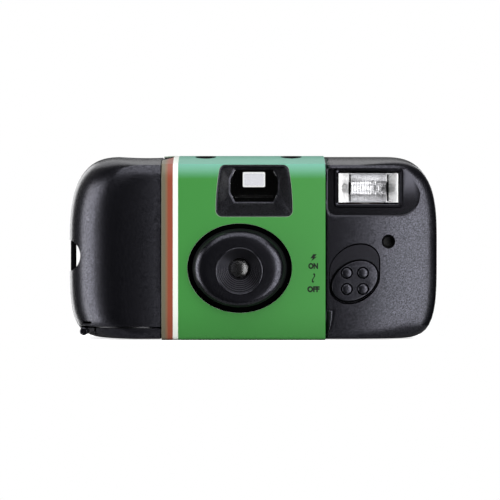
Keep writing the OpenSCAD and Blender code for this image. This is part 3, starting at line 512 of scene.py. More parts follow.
COOL = (0.84, 0.84, 1.0)
MOULDED = dict(size=0.36, depth=0.004, glint=0.3)
COARSE = dict(size=0.4, depth=0.006, glint=0.35)
case_black = grain(material("case_black", (0.0011, 0.0011, 0.0016), rough=0.27, tint=COOL), **MOULDED)
smooth_black = material("smooth_black", (0.0012, 0.0011, 0.0014), rough=0.22, tint=COOL)
tunnel_black = grain(material("tunnel_black", (0.004, 0.004, 0.0048), rough=0.38, tint=COOL), **COARSE)
bezel_black = grain(material("bezel_black", (0.0011, 0.0011, 0.0016), rough=0.26, tint=COOL), **MOULDED)
baffle_black = material("baffle_black", (0.003, 0.003, 0.0036), rough=0.3, specular=0.34, tint=COOL)
# A dull copy of the bezel's black, with little shine, for its steep slope: painted shade that hides the
# band's reflection there.
painted_shade_slope = material("painted_shade_slope", (0.004, 0.004, 0.005), rough=0.5, specular=0.08)
# Black with no shine: painted shade in the moat, seams, switch track, skirt and wells, strap notch, band
# holes and finder walls; also the dark fins by the flash tube.
dull_black_and_painted_shade = material("dull_black_and_painted_shade", (0.0008, 0.0008, 0.0009), rough=0.9, specular=0.0)
inner_black = material("inner_black", (0.0015, 0.0015, 0.0017), rough=0.6, specular=0.25)
label_card = striped_card()
card_edge = material("card_edge", linear(150, 165, 150), rough=0.7)
print_dark = material("print_dark", (0.003, 0.004, 0.003), rough=0.5, specular=0.2)
clear_plastic = material("clear_plastic", (1, 1, 1), rough=0.04, clear=1.0, ior=1.49)
white_plastic = material("white_plastic", (0.7, 0.7, 0.68), rough=0.4)
spring_steel = material("spring_steel", (0.12, 0.12, 0.125), rough=0.35, metal=1.0)
reflector_metal = material("reflector_metal", (0.95, 0.95, 0.96), rough=0.2, metal=0.55)
# Lit and shaded copies of the reflector: the grey one is painted shade over the trough's middle, the white
# one a painted highlight over its left part and end plates.
reflector_painted_shade = material("reflector_painted_shade", (0.8, 0.8, 0.82), rough=0.16, metal=0.7)
reflector_painted_highlight = material("reflector_painted_highlight", (0.98, 0.98, 0.98), rough=0.5)
contact_brass = material("contact_brass", (0.75, 0.55, 0.25), rough=0.3, metal=1.0)
film_base = material("film_base", (0.12, 0.07, 0.05), rough=0.2)
board_laminate = material("board_laminate", (0.4, 0.26, 0.1), rough=0.5)
cell_sleeve = material("cell_sleeve", (0.55, 0.56, 0.58), rough=0.35, metal=0.6)
capacitor_sleeve = material("capacitor_sleeve", (0.02, 0.02, 0.025), rough=0.35)
coil_copper = material("coil_copper", (0.7, 0.33, 0.15), rough=0.35, metal=1.0)
lamp_orange = material("lamp_orange", (0.9, 0.35, 0.08), rough=0.2, clear=0.7)
glass = material("glass", (0.98, 1, 0.99), rough=0.02, clear=1.0, ior=1.5)
# Dark tint in the clear lens: painted shade standing in for the dark inside behind it.
lens_glass = material("lens_glass", (0.1, 0.1, 0.11), rough=0.24, clear=1.0, ior=1.75)
window_clear = thin_clear("window_clear", sheen=0.05)
eyepiece_tint = material("eyepiece_tint", (0.84, 0.83, 0.89), rough=0.02, clear=1.0, ior=1.02)

SLOT_LOOKS = dict(
    case_black=case_black, label_card=label_card, clear_plastic=clear_plastic, inner_black=inner_black,
    white_plastic=white_plastic, spring_steel=spring_steel, reflector_metal=reflector_metal,
    contact_brass=contact_brass, film_base=film_base, board_laminate=board_laminate, cell_sleeve=cell_sleeve,
    capacitor_sleeve=capacitor_sleeve, coil_copper=coil_copper, lamp_orange=lamp_orange)
for entry in frame["record"]["subparts"]:
    part = frame["nodes"][entry["node"]]
    part.data.materials.clear()
    part.data.materials.append(SLOT_LOOKS[entry["material_slot"]])


# Case
def band_profile(off):
    """Side view of the case as a closed loop, moved in by off."""
    front = [0, 0.01, 0.03, 0.06, 0.1, 0.16, 0.25, 0.35, 0.5, 0.7, 0.9, 1.05, 1.2]
    middle = [1.3, 1.6, 2, 2.6, 3.4, 4.4, 5.6, 7, 8.5, 10, 11.5, 12.5, 14, 15.3, 16.5, 18.5, 21, 23.5, 26,
              27]
    rear = [27.4, 27.8, 28.2, 28.5, 28.7, 28.9, 29.1, 29.25, 29.35, 29.43, 29.48, 29.5]
    depths = [FRONT_Y + d for d in front + middle + rear]
    top = [(station(y, off), top_at(y) - off) for y in depths]
    base = [(station(y, off), bottom_at(y) + off) for y in reversed(depths)]
    return top + base


LIP = 0.25
RECESS_ROUND = 0.25
MOAT_Y = SKIN_Y + 1.1
TRACK_FIT, TRACK_DEPTH = 0.45, 0.9
CORNER_STEPS, FINE = 6, 48


def bare_y(x, z):
    """Depth of the case's bare front at a point, on the shoulder under the fold too."""
    fold_low = CASE_H - FOLD_DROP - SHOULDER_H - LABEL_T
    shoulder = clamp01((z - fold_low) / SHOULDER_H) ** 2 * FOLD_DEPTH
    return panel_y(x) + shoulder


def fill_edges(points, extra=8):
    """Points along the straight stretches between rounded or cut corners."""
    result = []
    for i, p in enumerate(points):
        result.append(p)
        if i % (CORNER_STEPS + 1) == CORNER_STEPS:
            result += spread(p, points[(i + 1) % len(points)], extra)
    return result


def finder_outline(grow=0.0):
    """The finder's opening: a rounded trapezium whose sides bow out towards its foot."""
    top, bottom = FINDER_TOP + grow, FINDER_BOTTOM - grow
    half_top, half_bottom = FINDER_TOP_W / 2 + grow, FINDER_BOTTOM_W / 2 + grow
    frame_points = [(FINDER_X - half_bottom, bottom), (FINDER_X + half_bottom, bottom),
                    (FINDER_X + half_top, top), (FINDER_X - half_top, top)]
    bow, corner_r = 0.4, 1.6
    points = []
    for x, z in fill_edges(rounded(frame_points, corner_r + grow, CORNER_STEPS)):
        t = clamp01((top - z) / (top - bottom))
        points.append((x + math.copysign(bow * math.sin(math.pi * t), x - FINDER_X), z))
    return points


def switch_outline(grow, lift=0.0, steps=96):
    """The switch's tilted oval, or the space that it sweeps as it slides up by lift."""
    a, b = SWITCH_A + grow, SWITCH_B + grow
    c, s = math.cos(SWITCH_TILT), math.sin(SWITCH_TILT)
    start = math.atan2(-b * s, a * c)
    points = []
    for i in range(steps):
        t = start + 2 * math.pi * i / steps
        up = lift if i <= steps / 2 else 0.0
        points.append((a * math.cos(t) * c - b * math.sin(t) * s,
                       a * math.cos(t) * s + b * math.sin(t) * c + up))
    return points


def on_panel(points, y):
    """Points round the switch's centre, at a depth y measured square to the front there."""
    turn = panel_turn(SWITCH_X)
    c, s = math.cos(turn), math.sin(turn)
    return [(SWITCH_X + x * c - y * s, panel_y(SWITCH_X) + x * s + y * c, SWITCH_Z + z)
            for x, z in points]


def recess_arc(k, grow):
    """The round of one corner of the flash recess, counted from the lower left."""
    x0, x1, z0, z1 = FLASH_LEFT - grow, FLASH_RIGHT + grow, FLASH_BOTTOM - grow, FLASH_TOP + grow
    least, steps = 0.1, 2 * CORNER_STEPS
    x, z = box_points(x0, x1, z0, z1)[k]
    r = max(least, FLASH_CORNERS[k] + grow)
    cx, cz = x + math.copysign(r, x0 + x1 - 2 * x), z + math.copysign(r, z0 + z1 - 2 * z)
    angles = [math.pi + math.pi / 2 * (k + n / steps) for n in range(steps + 1)]
    return [(cx + r * math.cos(t), cz + r * math.sin(t)) for t in angles]


def recess_outline(grow=0.0):
    """Front view of the flash recess, each corner with a round of its own."""
    arcs = [recess_arc(k, grow) for k in range(len(FLASH_CORNERS))]
    along = 12
    points = []
    for k, arc in enumerate(arcs):
        points += arc + spread(arc[-1], arcs[(k + 1) % len(arcs)][0], along)
    return points


def recess_cutter():
    """Room over the flash's flat floor, with a rounded lip along its edge."""
    r, steps, inside = RECESS_ROUND, 4, 0.1
    lip = ((LIP, -0.02), (LIP * 0.4, 0.05), (0.0, LIP * 0.7))
    rings = [at_depth(recess_outline(LIP), CUT_FRONT)]
    for grow, deep in lip:
        rings.append(at_depth(recess_outline(grow),
                              lambda x, z: min(bare_y(x, FLASH_BOTTOM) + deep, FLASH_FLOOR - r)))
    for k in range(steps + 1):
        t = math.pi / 2 * k / steps
        rings.append(at_depth(recess_outline(r * math.cos(t) - r), FLASH_FLOOR - r + r * math.sin(t)))
    rings.append(at_depth(recess_outline(-r - inside), FLASH_FLOOR))
    return loft("recess_cutter", rings, smooth_black)


def dish_cutter():
    """The shallow bowl round the shutter button."""
    top = top_at(BUTTON_Y) - LABEL_T
    r = (DISH_R ** 2 + DISH_DEPTH ** 2) / (2 * DISH_DEPTH)
    floor, steps, flare, far = top - DISH_DEPTH, 12, 0.4, 4
    rings = []
    for k in range(1, steps + 1):
        reach = DISH_R * k / steps
        rings.append(level_ring(BUTTON_X, BUTTON_Y, floor + r - math.sqrt(r * r - reach * reach), reach))
    rings += [level_ring(BUTTON_X, BUTTON_Y, top + up, DISH_R + flare) for up in (flare, far)]
    return loft("dish_cutter", rings, case_black)


def post(name, x, y, z0, z1, r, look):
    return loft(name, [level_ring(x, y, z, r) for z in (z0, z1)], look)


def strap_notch():
    far = 5
    # The walls of the notch are painted dark as shade inside the hole.
    return loft("strap_notch", [oval_ring(STRAP_X, STRAP_Z, y, STRAP_R, STRAP_R)
                                for y in (FRONT_Y - far, BACK_Y + far)], dull_black_and_painted_shade)


def edge_groove(x0, x1):
    """A shallow groove round the case, from x0 to x1, beside an edge of the printed band."""
    over, deep = -0.5, 0.6
    rings = [[(x0, *p), (x1, *p), (x1, *q), (x0, *q)]
             for p, q in zip(band_profile(over), band_profile(deep))]
    return loft("edge_groove", rings, inner_black, closed=True)


def groove_edges(shell):
    """Cut the two grooves in which the edges of the printed band lie."""
    under, beside = 0.1, 0.3
    cut(shell, edge_groove(LABEL_LEFT - beside, LABEL_LEFT + under),
        edge_groove(LABEL_RIGHT - under, LABEL_RIGHT + beside))


def door_space():
    """Room for the cartridge door in the base, with the step for its lip round the grip."""
    x0, x1 = DOOR_X0 - FIT, DOOR_X1 + FIT
    shadow, far, under = 0.15, 3, -2
    top, lip = LABEL_T + DOOR_T + FIT, DOOR_LIP + FIT + shadow
    side = [(FRONT_Y - far, under), (BACK_Y + far, under), (BACK_Y + far, top), (DOOR_WRAP_Y + FIT, top),
            (DOOR_WRAP_Y + FIT, lip), (FRONT_Y - far, lip)]
    # Where this room cuts the shells, the faces are painted dark as shade in the seam round the door.
    return loft("door_space", [[(x, y, z) for y, z in side] for x in (x0, x1)], dull_black_and_painted_shade)


def track_cutter():
    """Sunk track of the switch, with a drafted wall painted dark as shade."""
    draft, wall_from, sides = 0.22, 0.3, 4
    steps = ((-3, TRACK_FIT + LIP), (-0.02, TRACK_FIT + LIP), (0.2, TRACK_FIT + 0.03),
             (TRACK_DEPTH, TRACK_FIT - draft))
    cutter = loft("track_cutter", [on_panel(switch_outline(grow, SWITCH_TRAVEL), y) for y, grow in steps],
                  smooth_black)
    # The wall, clear of the track's floor, is painted dark as shade.
    paint(cutter, dull_black_and_painted_shade,
          lambda at, face: at.y > panel_y(at.x) + wall_from and len(face.vertices) == sides)
    return cutter


def box_ring(x, z, half_w, half_h, radius, y):
    """A box with rounded corners, seen from the front."""
    return at_depth(rounded(box_points(x - half_w, x + half_w, z - half_h, z + half_h), radius), y)


def moat_ring(y, grow):
    """The edge of the moat, painted dark as shade, round the lens surround."""
    return oval_ring(LENS_X, LENS_Z, y, BEZEL_A + BEZEL_GAP + grow, BEZEL_B + BEZEL_GAP + grow)


def front_shell():
    depths = (0, 0.02, 0.05, 0.1, 0.2, 0.3, 0.45, 0.6, 0.8, 1.0, 1.2, 1.4, 1.7, 2.2, 2.8, 3.5, 4.3, 5.2, 6.0,
              7.2, 8.5, 9.8, 11, 12.2)
    edge = depth_for(SPLIT_Y - 2 * SEAM, LABEL_T)
    outer = [case_ring(FRONT_Y + d, LABEL_T) for d in depths] + [case_ring(edge, LABEL_T)]
    outer.append(case_ring(depth_for(SPLIT_Y - SEAM / 2, LABEL_T + SEAM), LABEL_T + SEAM))
    face = cap_rings(outer[0], lambda x: SKIN_Y - swell(x, FRONT_Y))
    behind, fade = 2.4, 7
    inner = [case_ring(depth_for(SPLIT_Y - SEAM / 2, INNER), INNER)]
    for d in (11, 9.8, 8.5, 7.2, 6, 5.2, 4.3, 3.5, 2.8, 2.2, 1.7, 1.3, 1, 0.6, 0.3, 0.1, 0):
        inner.append(case_ring(FRONT_Y + d, INNER, behind * clamp01(1 - d / fade)))
    back = cap_rings(inner[-1],
                     lambda x: SKIN_Y + WALL - swell(x, FRONT_Y) + behind * flash_side(x))
    shell = loft("front_shell", face + outer + inner + back[::-1], case_black)
    through, plug, around = (CUT_FRONT, CUT_END), PLUG_R + 0.05, 0.45
    moat = ((CUT_FRONT, 0.1), (SKIN_Y + 0.7, 0.1), (MOAT_Y, -0.2))
    sensor = ((-2, SENSOR_R + 0.9), (0, SENSOR_R + 0.25), (0.35, SENSOR_R), (6, SENSOR_R))
    cut(shell,
        loft("finder_cutter", [at_depth(finder_outline(), y) for y in through], smooth_black),
        loft("lens_cutter", [oval_ring(LENS_X, LENS_Z, y, plug, plug) for y in through], case_black),
        # The moat's faces are painted dark as shade.
        loft("moat_cutter", [moat_ring(y, grow) for y, grow in moat], dull_black_and_painted_shade),
        recess_cutter(),
        block("window_cutter", (WIN_X - around, CUT_FRONT, WIN_Z - around),
              (WIN_X + WIN_W + around, CUT_END, WIN_Z + WIN_H + around), inner_black),
        loft("sensor_cutter", [oval_ring(SENSOR_X, SENSOR_Z, panel_y(SENSOR_X) + d, r, r, FINE)
                               for d, r in sensor], smooth_black),
        track_cutter())
    latch_from, latch_to = (0.6, 1.2), (3.4, 1.9)
    cut(shell,
        dish_cutter(),
        post("button_cutter", BUTTON_X, BUTTON_Y, MID_Z, CUT_TOP, BUTTON_R + FIT, inner_black),
        post("count_cutter", COUNT_X, COUNT_Y, MID_Z, CUT_TOP, COUNT_R, inner_black),
        post("pipe_cutter", PIPE_X, PIPE_Y, MID_Z, CUT_TOP, PIPE_R + FIT, inner_black),
        strap_notch(),
        door_space(),
        block("latch_cutter", (DOOR_X0 + latch_from[0], CUT_FRONT + 1, DOOR_LIP + latch_from[1]),
              (DOOR_X0 + latch_to[0], CUT_END, DOOR_LIP + latch_to[1]), inner_black))
    groove_edges(shell)
    smooth(shell)
    place(shell, "case", "case_black", "front_cover")


def back_shell():
    depths = (13.8, 15, 17, 19, 21, 23, 25, 26.5, 27, 27.5, 28, 28.4, 28.7, 28.9, 29.1, 29.25, 29.35, 29.42,
              29.47, 29.5)
    edge = depth_for(SPLIT_Y + 2 * SEAM, LABEL_T)
    outer = [case_ring(depth_for(SPLIT_Y + SEAM / 2, LABEL_T + SEAM), LABEL_T + SEAM),
             case_ring(edge, LABEL_T)]
    outer += [case_ring(FRONT_Y + d, LABEL_T) for d in depths]
    face = cap_rings(outer[-1], lambda x: REAR_Y)
    inner = [case_ring(depth_for(SPLIT_Y + SEAM / 2, INNER), INNER)]
    for d in (15, 18, 21, 24, 26.5, 27.5, 28.4, 29, 29.3, 29.5):
        inner.append(case_ring(FRONT_Y + d, INNER))
    back = cap_rings(inner[-1], lambda x: REAR_Y - WALL)
    shell = loft("back_shell", back + inner[::-1] + outer + face[::-1], case_black)
    half_w, half_h, far, scoop_rise = EYE_W / 2 + 0.05, EYE_H / 2 + 0.05, 3, 2.3
    cut(shell,
        loft("eye_cutter", [box_ring(FINDER_X, EYE_Z, half_w, half_h, EYE_ROUND, y)
                            for y in (SPLIT_Y + far, BACK_Y + far)], smooth_black),
        post("scoop_cutter", CART_X, REAR_Y + SCOOP_R - SCOOP_DEPTH, WHEEL_Z - FIT,
             WHEEL_TOP + FIT + scoop_rise, SCOOP_R, case_black),
        post("wheel_cutter", CART_X, CART_Y, WHEEL_Z - FIT, WHEEL_TOP + FIT, WHEEL_R + FIT, inner_black),
        dish_cutter(),
        post("button_cutter", BUTTON_X, BUTTON_Y, MID_Z, CUT_TOP, BUTTON_R + FIT, inner_black),
        strap_notch(),
        door_space())
    outer = -HALF_W + LABEL_T
    bar_edge = 0.3
    bar = block("strap_bar", (outer, SPLIT_Y + SEAM, STRAP_Z - STRAP_R),
                (outer + STRAP_BAR, SPLIT_Y + STRAP_BAR_D, STRAP_Z + STRAP_R), case_black)
    soften(bar, bar_edge)
    combine(shell, "UNION", [bar])
    groove_edges(shell)
    smooth(shell)
    place(shell, "case", "case_black", "back_cover")


front_shell()
back_shell()


# Printed band
def label_band():
    sheet, edge, flare, deep = LABEL_T - 0.01, 0.15, 0.08, 6
    rings = []
    for p, m, q in zip(band_profile(0), band_profile(edge), band_profile(sheet)):
        rings.append([(LABEL_LEFT + edge, *p), (LABEL_RIGHT - edge, *p), (LABEL_RIGHT, *m),
                      (LABEL_RIGHT, *q), (LABEL_LEFT, *q), (LABEL_LEFT, *m)])
    band = loft("printed_band", rings, label_card, closed=True)
    steps = ((CUT_FRONT, flare), (FRONT_Y - 0.01, flare), (FRONT_Y + LABEL_T, 0.0), (FRONT_Y + deep, 0.0))
    around, hole = 0.6, COUNT_R + 0.3
    half_w, half_h = EYE_W / 2 + around, EYE_H / 2 + around
    cut(band,
        loft("finder_cutter", [at_depth(finder_outline(g), lambda x, z, d=y: d + bare_y(0, z) - SKIN_Y)
                               for y, g in steps], card_edge),
        loft("lens_cutter", [moat_ring(y, g) for y, g in steps], card_edge),
        # The walls of the counter and lamp holes in the band are painted dark as shade.
        post("count_cutter", COUNT_X, COUNT_Y, MID_Z, CUT_TOP, hole, dull_black_and_painted_shade),
        post("pipe_cutter", PIPE_X, PIPE_Y, MID_Z, CUT_TOP, hole, dull_black_and_painted_shade),
        post("dish_cutter", BUTTON_X, BUTTON_Y, MID_Z, CUT_TOP, DISH_R, card_edge),
        block("eye_cutter", (FINDER_X - half_w, SPLIT_Y, EYE_Z - half_h),
              (FINDER_X + half_w, BACK_Y + 2, EYE_Z + half_h), card_edge))
    smooth(band, angle=25)
    place(band, "case", "label_card", "label_band")


label_band()


# Lens
FACE_DROP = 0.8


def lens_surround():
    """Raised oval: a rounded slope up to the round face, then stepped rings down to the lens."""
    height, steps, ease, power = SKIN_Y - BEZEL_Y, 24, 1.6, 5
    rings = [oval_ring(LENS_X, LENS_Z, MOAT_Y + 0.05, BEZEL_A, BEZEL_B)]
    for k in range(steps + 1):
        s = 1 - (1 - k / steps) ** ease
        drop = height * math.sqrt(1 - (1 - s) ** power)
        rings.append(oval_ring(LENS_X, LENS_Z - FACE_DROP * s, SKIN_Y - drop,
                               BEZEL_A + (FACE_R - BEZEL_A) * s, BEZEL_B + (FACE_R - BEZEL_B) * s))
    rim = ((0.02, 0.25), (0.14, 0.25), (0.16, 0.0), (0.3, -0.1), (0.44, 0.0))
    inside = [(FACE_R - inset, d) for inset, d in rim]
    first, last, deep, count, lip = FACE_R - 0.6, 3.1, 4.1, 7, 0.14
    for i in range(count):
        r = first + (last - first) * i / count
        d = 0.02 + deep * i / count
        next_r = first + (last - first) * (i + 1) / count
        inside += [(r, d), (r - lip, d + lip * 0.5), (r - lip - 0.01, d + deep / count - 0.01),
                   (next_r + 0.02, d + deep / count)]
    stop_r, seat, floor = 3.0, 4.6, 6.2
    inside += [(3.05, 4.2), (stop_r, 4.35), (stop_r, seat), (LENS_R, seat), (LENS_R, floor),
               (PLUG_R, floor), (PLUG_R, MOAT_Y + 0.1 - BEZEL_Y)]
    rings += [oval_ring(LENS_X, LENS_Z - FACE_DROP * clamp01(1 - d / seat), BEZEL_Y + d, r, r)
              for r, d in inside]
    surround = loft("lens_surround", rings, bezel_black, closed=True)

    def reach(at):
        return math.hypot((at.x - LENS_X) / BEZEL_A, (at.z - LENS_Z) / BEZEL_B)

    foot, slope, baffle_r = 0.985, 0.925, FACE_R - 0.5
    # The foot of the slope is painted dark as shade, as in the moat.
    paint(surround, dull_black_and_painted_shade, lambda at, face: reach(at) > foot)
    paint(surround, baffle_black,
          lambda at, face: math.hypot(at.x - LENS_X, at.z - LENS_Z + FACE_DROP) < baffle_r)
    # The steep slope takes the dull copy: painted shade.
    paint(surround, painted_shade_slope, lambda at, face: slope < reach(at) <= foot)
    smooth(surround, angle=16)
    place(surround, "case", "case_black", "lens_bezel")


def taking_lens():
    radius, thick, hollow, steps, around = 6.5, 1.55, 0.35, 14, 64
    edge, rim, outer, least = 2.95, LENS_Y + 0.1, LENS_R - 0.02, 0.01
    sag = radius - math.sqrt(radius ** 2 - edge ** 2)
    spans = [max(least, edge * k / steps) for k in range(steps + 1)]
    profile = [(rim + radius - math.sqrt(radius ** 2 - r * r), r) for r in spans]
    profile += [(rim + sag + 0.02, outer), (rim + thick, outer)]
    profile += [(rim + thick - hollow, r) for r in spans[::-1]]
    # The lens's dark tint is painted shade.
    lens = loft("taking_lens_glass", [oval_ring(LENS_X, LENS_Z, y, r, r, around) for y, r in profile],
                lens_glass)
    smooth(lens, angle=30)
    place(lens, "case", "clear_plastic", "taking_lens")


lens_surround()
taking_lens()


# Finder
OCTAGON_RUN, OCTAGON_RISE = 1.45, 2.9
SIGHT_W, SIGHT_H = 6.76, 4.56


def octagon(grow=0.0, steps=CORNER_STEPS):
    """The frame of the finder's front lens, with cut corners, in the order of finder_outline."""
    w, h = FINDER_W / 2 + grow, FINDER_H / 2 + grow
    points = []
    for sx, sz, to_side in ((-1, -1, False), (1, -1, True), (1, 1, False), (-1, 1, True)):
        side = Vector((sx * w, sz * (h - OCTAGON_RISE)))
        end = Vector((sx * (w - OCTAGON_RUN), sz * h))
        a, b = (end, side) if to_side else (side, end)
        for k in range(steps + 1):
            p = a.lerp(b, k / steps)
            points.append((FINDER_X + p.x, FINDER_MID + p.y))
    return fill_edges(points)


def between(a, b, t):
    return [tuple(p[k] + (q[k] - p[k]) * t for k in range(3)) for p, q in zip(a, b)]


def finder_tunnel():
    """Funnel from the rounded opening back to the cut-cornered frame of the front lens."""
    outer, flare, throat, steps = -0.05, 0.3, -0.1, 6

    def front_ring(grow, deep):
        return at_depth(finder_outline(grow), lambda x, z: bare_y(0, z) + deep)

    rings = [front_ring(grow, deep) for grow, deep in ((outer, 0.12), (-0.35, 0.17), (-0.6, 0.52))]
    ends = [at_depth(octagon(grow), FINDER_Y - ahead)
            for grow, ahead in ((flare, 0.45), (throat, 0.25), (throat, 0.0), (flare, 0.0))]
    rings += [between(rings[-1], ends[0], k / steps) for k in range(1, steps)]
    tunnel = loft("finder_tunnel", rings + ends + [front_ring(outer, 1.2)], tunnel_black, closed=True)
    smooth(tunnel, angle=20)
    place(tunnel, "case", "case_black")


def finder_box():
    """Walls between the two lenses of the finder, painted dark as shade."""
    front_y, back_y, sheet, corner_r = FINDER_Y + FINDER_T + 0.1, REAR_Y - WALL - 0.1, 0.4, 0.4
    front = (front_y, FINDER_W / 2 - 0.8, FINDER_H / 2 - 0.6, FINDER_MID)
    back = (back_y, SIGHT_W / 2, SIGHT_H / 2, EYE_Z)
    rings = [box_ring(FINDER_X, z, w + grow, h + grow, corner_r, y)
             for (y, w, h, z), grow in ((front, 0.0), (back, 0.0), (back, sheet), (front, sheet))]
    walls = loft("finder_box", rings, dull_black_and_painted_shade, closed=True)
    smooth(walls, angle=30)
    place(walls, "case", "inner_black")


def pane(name, x, z, w, h, y0, y1, radius, edge, look):
    """A flat clear pane with rounded corners and a small chamfer on its edges."""
    profile = ((y0, -edge), (y0 + edge, 0), (y1 - edge, 0), (y1, -edge))
    return loft(name, [box_ring(x, z, w / 2 + grow, h / 2 + grow, radius, y) for y, grow in profile], look)


def finder_lenses():
    outer, inner, rear_y = -0.02, -0.12, REAR_Y - WALL
    profile = ((0.02, inner), (0.12, outer), (FINDER_T - 0.1, outer), (FINDER_T, inner))
    front = loft("finder_glass", [at_depth(octagon(grow), FINDER_Y + d) for d, grow in profile], glass)
    smooth(front, angle=30)
    place(front, "case", "clear_plastic", "finder_front_lens")
    rear = pane("finder_eyeglass", FINDER_X, EYE_Z, EYE_W, EYE_H, rear_y + 0.4, REAR_Y - 0.2, EYE_ROUND, 0.1,
                window_clear)
    smooth(rear, angle=30)
    place(rear, "case", "clear_plastic", "finder_eyepiece")
    margin = 0.9
    sight = pane("finder_sight", FINDER_X, EYE_Z, SIGHT_W - margin, SIGHT_H - margin, rear_y, rear_y + 0.35,
                 0.3, 0.05, eyepiece_tint)
    place(sight, "case", "clear_plastic")


finder_tunnel()
finder_box()
finder_lenses()


# Flash
WIN_MX, WIN_MZ = WIN_X + WIN_W / 2, WIN_Z + WIN_H / 2
WIN_T, WIN_ROUND, WIN_EDGE = 1.2, 0.5, 0.15
SLEEVE_LEFT, SLEEVE_RIGHT = WIN_X + 2.9, WIN_X + WIN_W - 3.2
END_RIPPLE = 0.06


def flash_window():
    """Plain clear cover over the trough."""
    window = pane("flash_cover", WIN_MX, WIN_MZ, WIN_W, WIN_H, WIN_Y, WIN_Y + WIN_T, WIN_ROUND, WIN_EDGE,
                  window_clear)
    smooth(window, angle=30)
    place(window, "case", "clear_plastic", "flash_window")


def flash_trough():
    """Bright trough with a curved back, slanted end plates and fine lines along it, with painted shade in a
    grey copy over its middle and a painted highlight in a white copy over its left part and end plates.
    """
    x0, x1 = WIN_X + 0.2, WIN_X + WIN_W - 0.2
    half, depth, front, fullness = WIN_H / 2 - 0.05, 5.0, WIN_Y + 1.65, 0.8
    slant, sheet, steps = 2.2, 0.3, 24
    ribs, cuts, ripple = 26, 4, 0.05
    shares = [i / (ribs * cuts) for i in range(ribs * cuts + 1)]
    rings = []
    for i in range(steps + 1):
        t = -1 + 2 * i / steps
        z = WIN_MZ + half * math.sin(math.pi / 2 * t)
        y = front + depth * math.cos(math.pi / 2 * t) ** fullness
        run = slant * (y - front) / depth
        inside = [(x0 + run + (x1 - x0 - 2 * run) * s, y + ripple * math.cos(2 * math.pi * ribs * s), z)
                  for s in shares]
        rings.append(inside + [(x1 - run, y + sheet, z), (x0 + run, y + sheet, z)])
    trough = loft("flash_trough", rings, reflector_metal)
    # Painted shade over the middle and a painted highlight over the left part.
    paint(trough, reflector_painted_shade, lambda at, face: SLEEVE_LEFT < at.x < SLEEVE_RIGHT)
    paint(trough, reflector_painted_highlight, lambda at, face: at.x <= SLEEVE_LEFT)
    smooth(trough, angle=8)
    place(trough, "case", "reflector_metal", "flash_reflector")
    ridges, fine = 8, 6
    for name, side, x in (("flash_end_left", 1, x0), ("flash_end_right", -1, x1)):
        plate = []
        for i in range(ridges * fine + 1):
            z = WIN_MZ + half * (2 * i / (ridges * fine) - 1)
            ridge = END_RIPPLE * math.cos(2 * math.pi * i / fine)
            near, far = x + side * ridge, x + side * (slant + ridge)
            plate.append([(near, front, z), (far, front + depth, z),
                          (x + side * (slant - sheet), front + depth, z), (x - side * sheet, front, z)])
        # The end plates take the white copy: a painted highlight.
        end = loft(name, plate, reflector_painted_highlight)
        smooth(end, angle=8)
        place(end, "case", "reflector_metal")


def flash_frame():
    """Raised edge round the window, with a dark gap inside it."""
    profile = ((0.05, 1.6), (-0.3, 1.45), (-0.5, 1.2), (-0.5, 0.65), (-0.4, 0.5), (0.05, 0.46))
    rings = [box_ring(WIN_MX, WIN_MZ, WIN_W / 2 + grow, WIN_H / 2 + grow, WIN_ROUND + grow / 2,
                      FLASH_FLOOR + d) for d, grow in profile]
    edge = loft("flash_frame", rings, smooth_black, closed=True)
    smooth(edge, angle=30)
    place(edge, "case", "case_black")


def tube_sleeves():
    """Dark sleeves on the ends of the flash tube, each with an upright fin in front."""
    reach, bore, wide, edge, around, y = 1.75, 1.35, 0.65, 0.1, 32, WIN_Y + 4.0
    profile = ((bore, 0), (reach - edge, 0), (reach, edge), (reach, wide - edge), (reach - edge, wide),
               (bore, wide))
    tall, thin, fin_depths = WIN_H / 2 - 0.4, 0.45, (-0.2, 0.15)
    for name, x in (("tube_sleeve_left", SLEEVE_LEFT), ("tube_sleeve_right", SLEEVE_RIGHT)):
        rings = [[(x + dx, y + r * math.cos(t), WIN_MZ + r * math.sin(t)) for t in turns(around)]
                 for r, dx in profile]
        sleeve = loft(name, rings, inner_black, closed=True)
        smooth(sleeve, angle=40)
        fin = loft(name + "_fin", [box_ring(x + wide / 2, WIN_MZ, thin / 2, tall, thin / 3, y - reach + d)
                                   for d in fin_depths], dull_black_and_painted_shade)
        place(fin, "case", "inner_black")
        place(sleeve, "case", "inner_black")


flash_window()
flash_trough()
flash_frame()
tube_sleeves()


# Switch
SWITCH_T, SLIDE_FIT = 1.1, 0.1
DOT_PITCH, DOT_R, DOT_H = 4.67, 1.45, 0.55


DOTS = [(i, j) for i in (-1, 1) for j in (-1, 1)]


def dot_rings(i, j, top, profile):
    """Rings of a round dot of the switch, from depths below the plate's top and radii."""
    x, z, around = i * DOT_PITCH / 2, j * DOT_PITCH / 2, 32
    return [on_panel([(x + r * math.cos(t), z + r * math.sin(t)) for t in turns(around)], top + d)
            for d, r in profile]


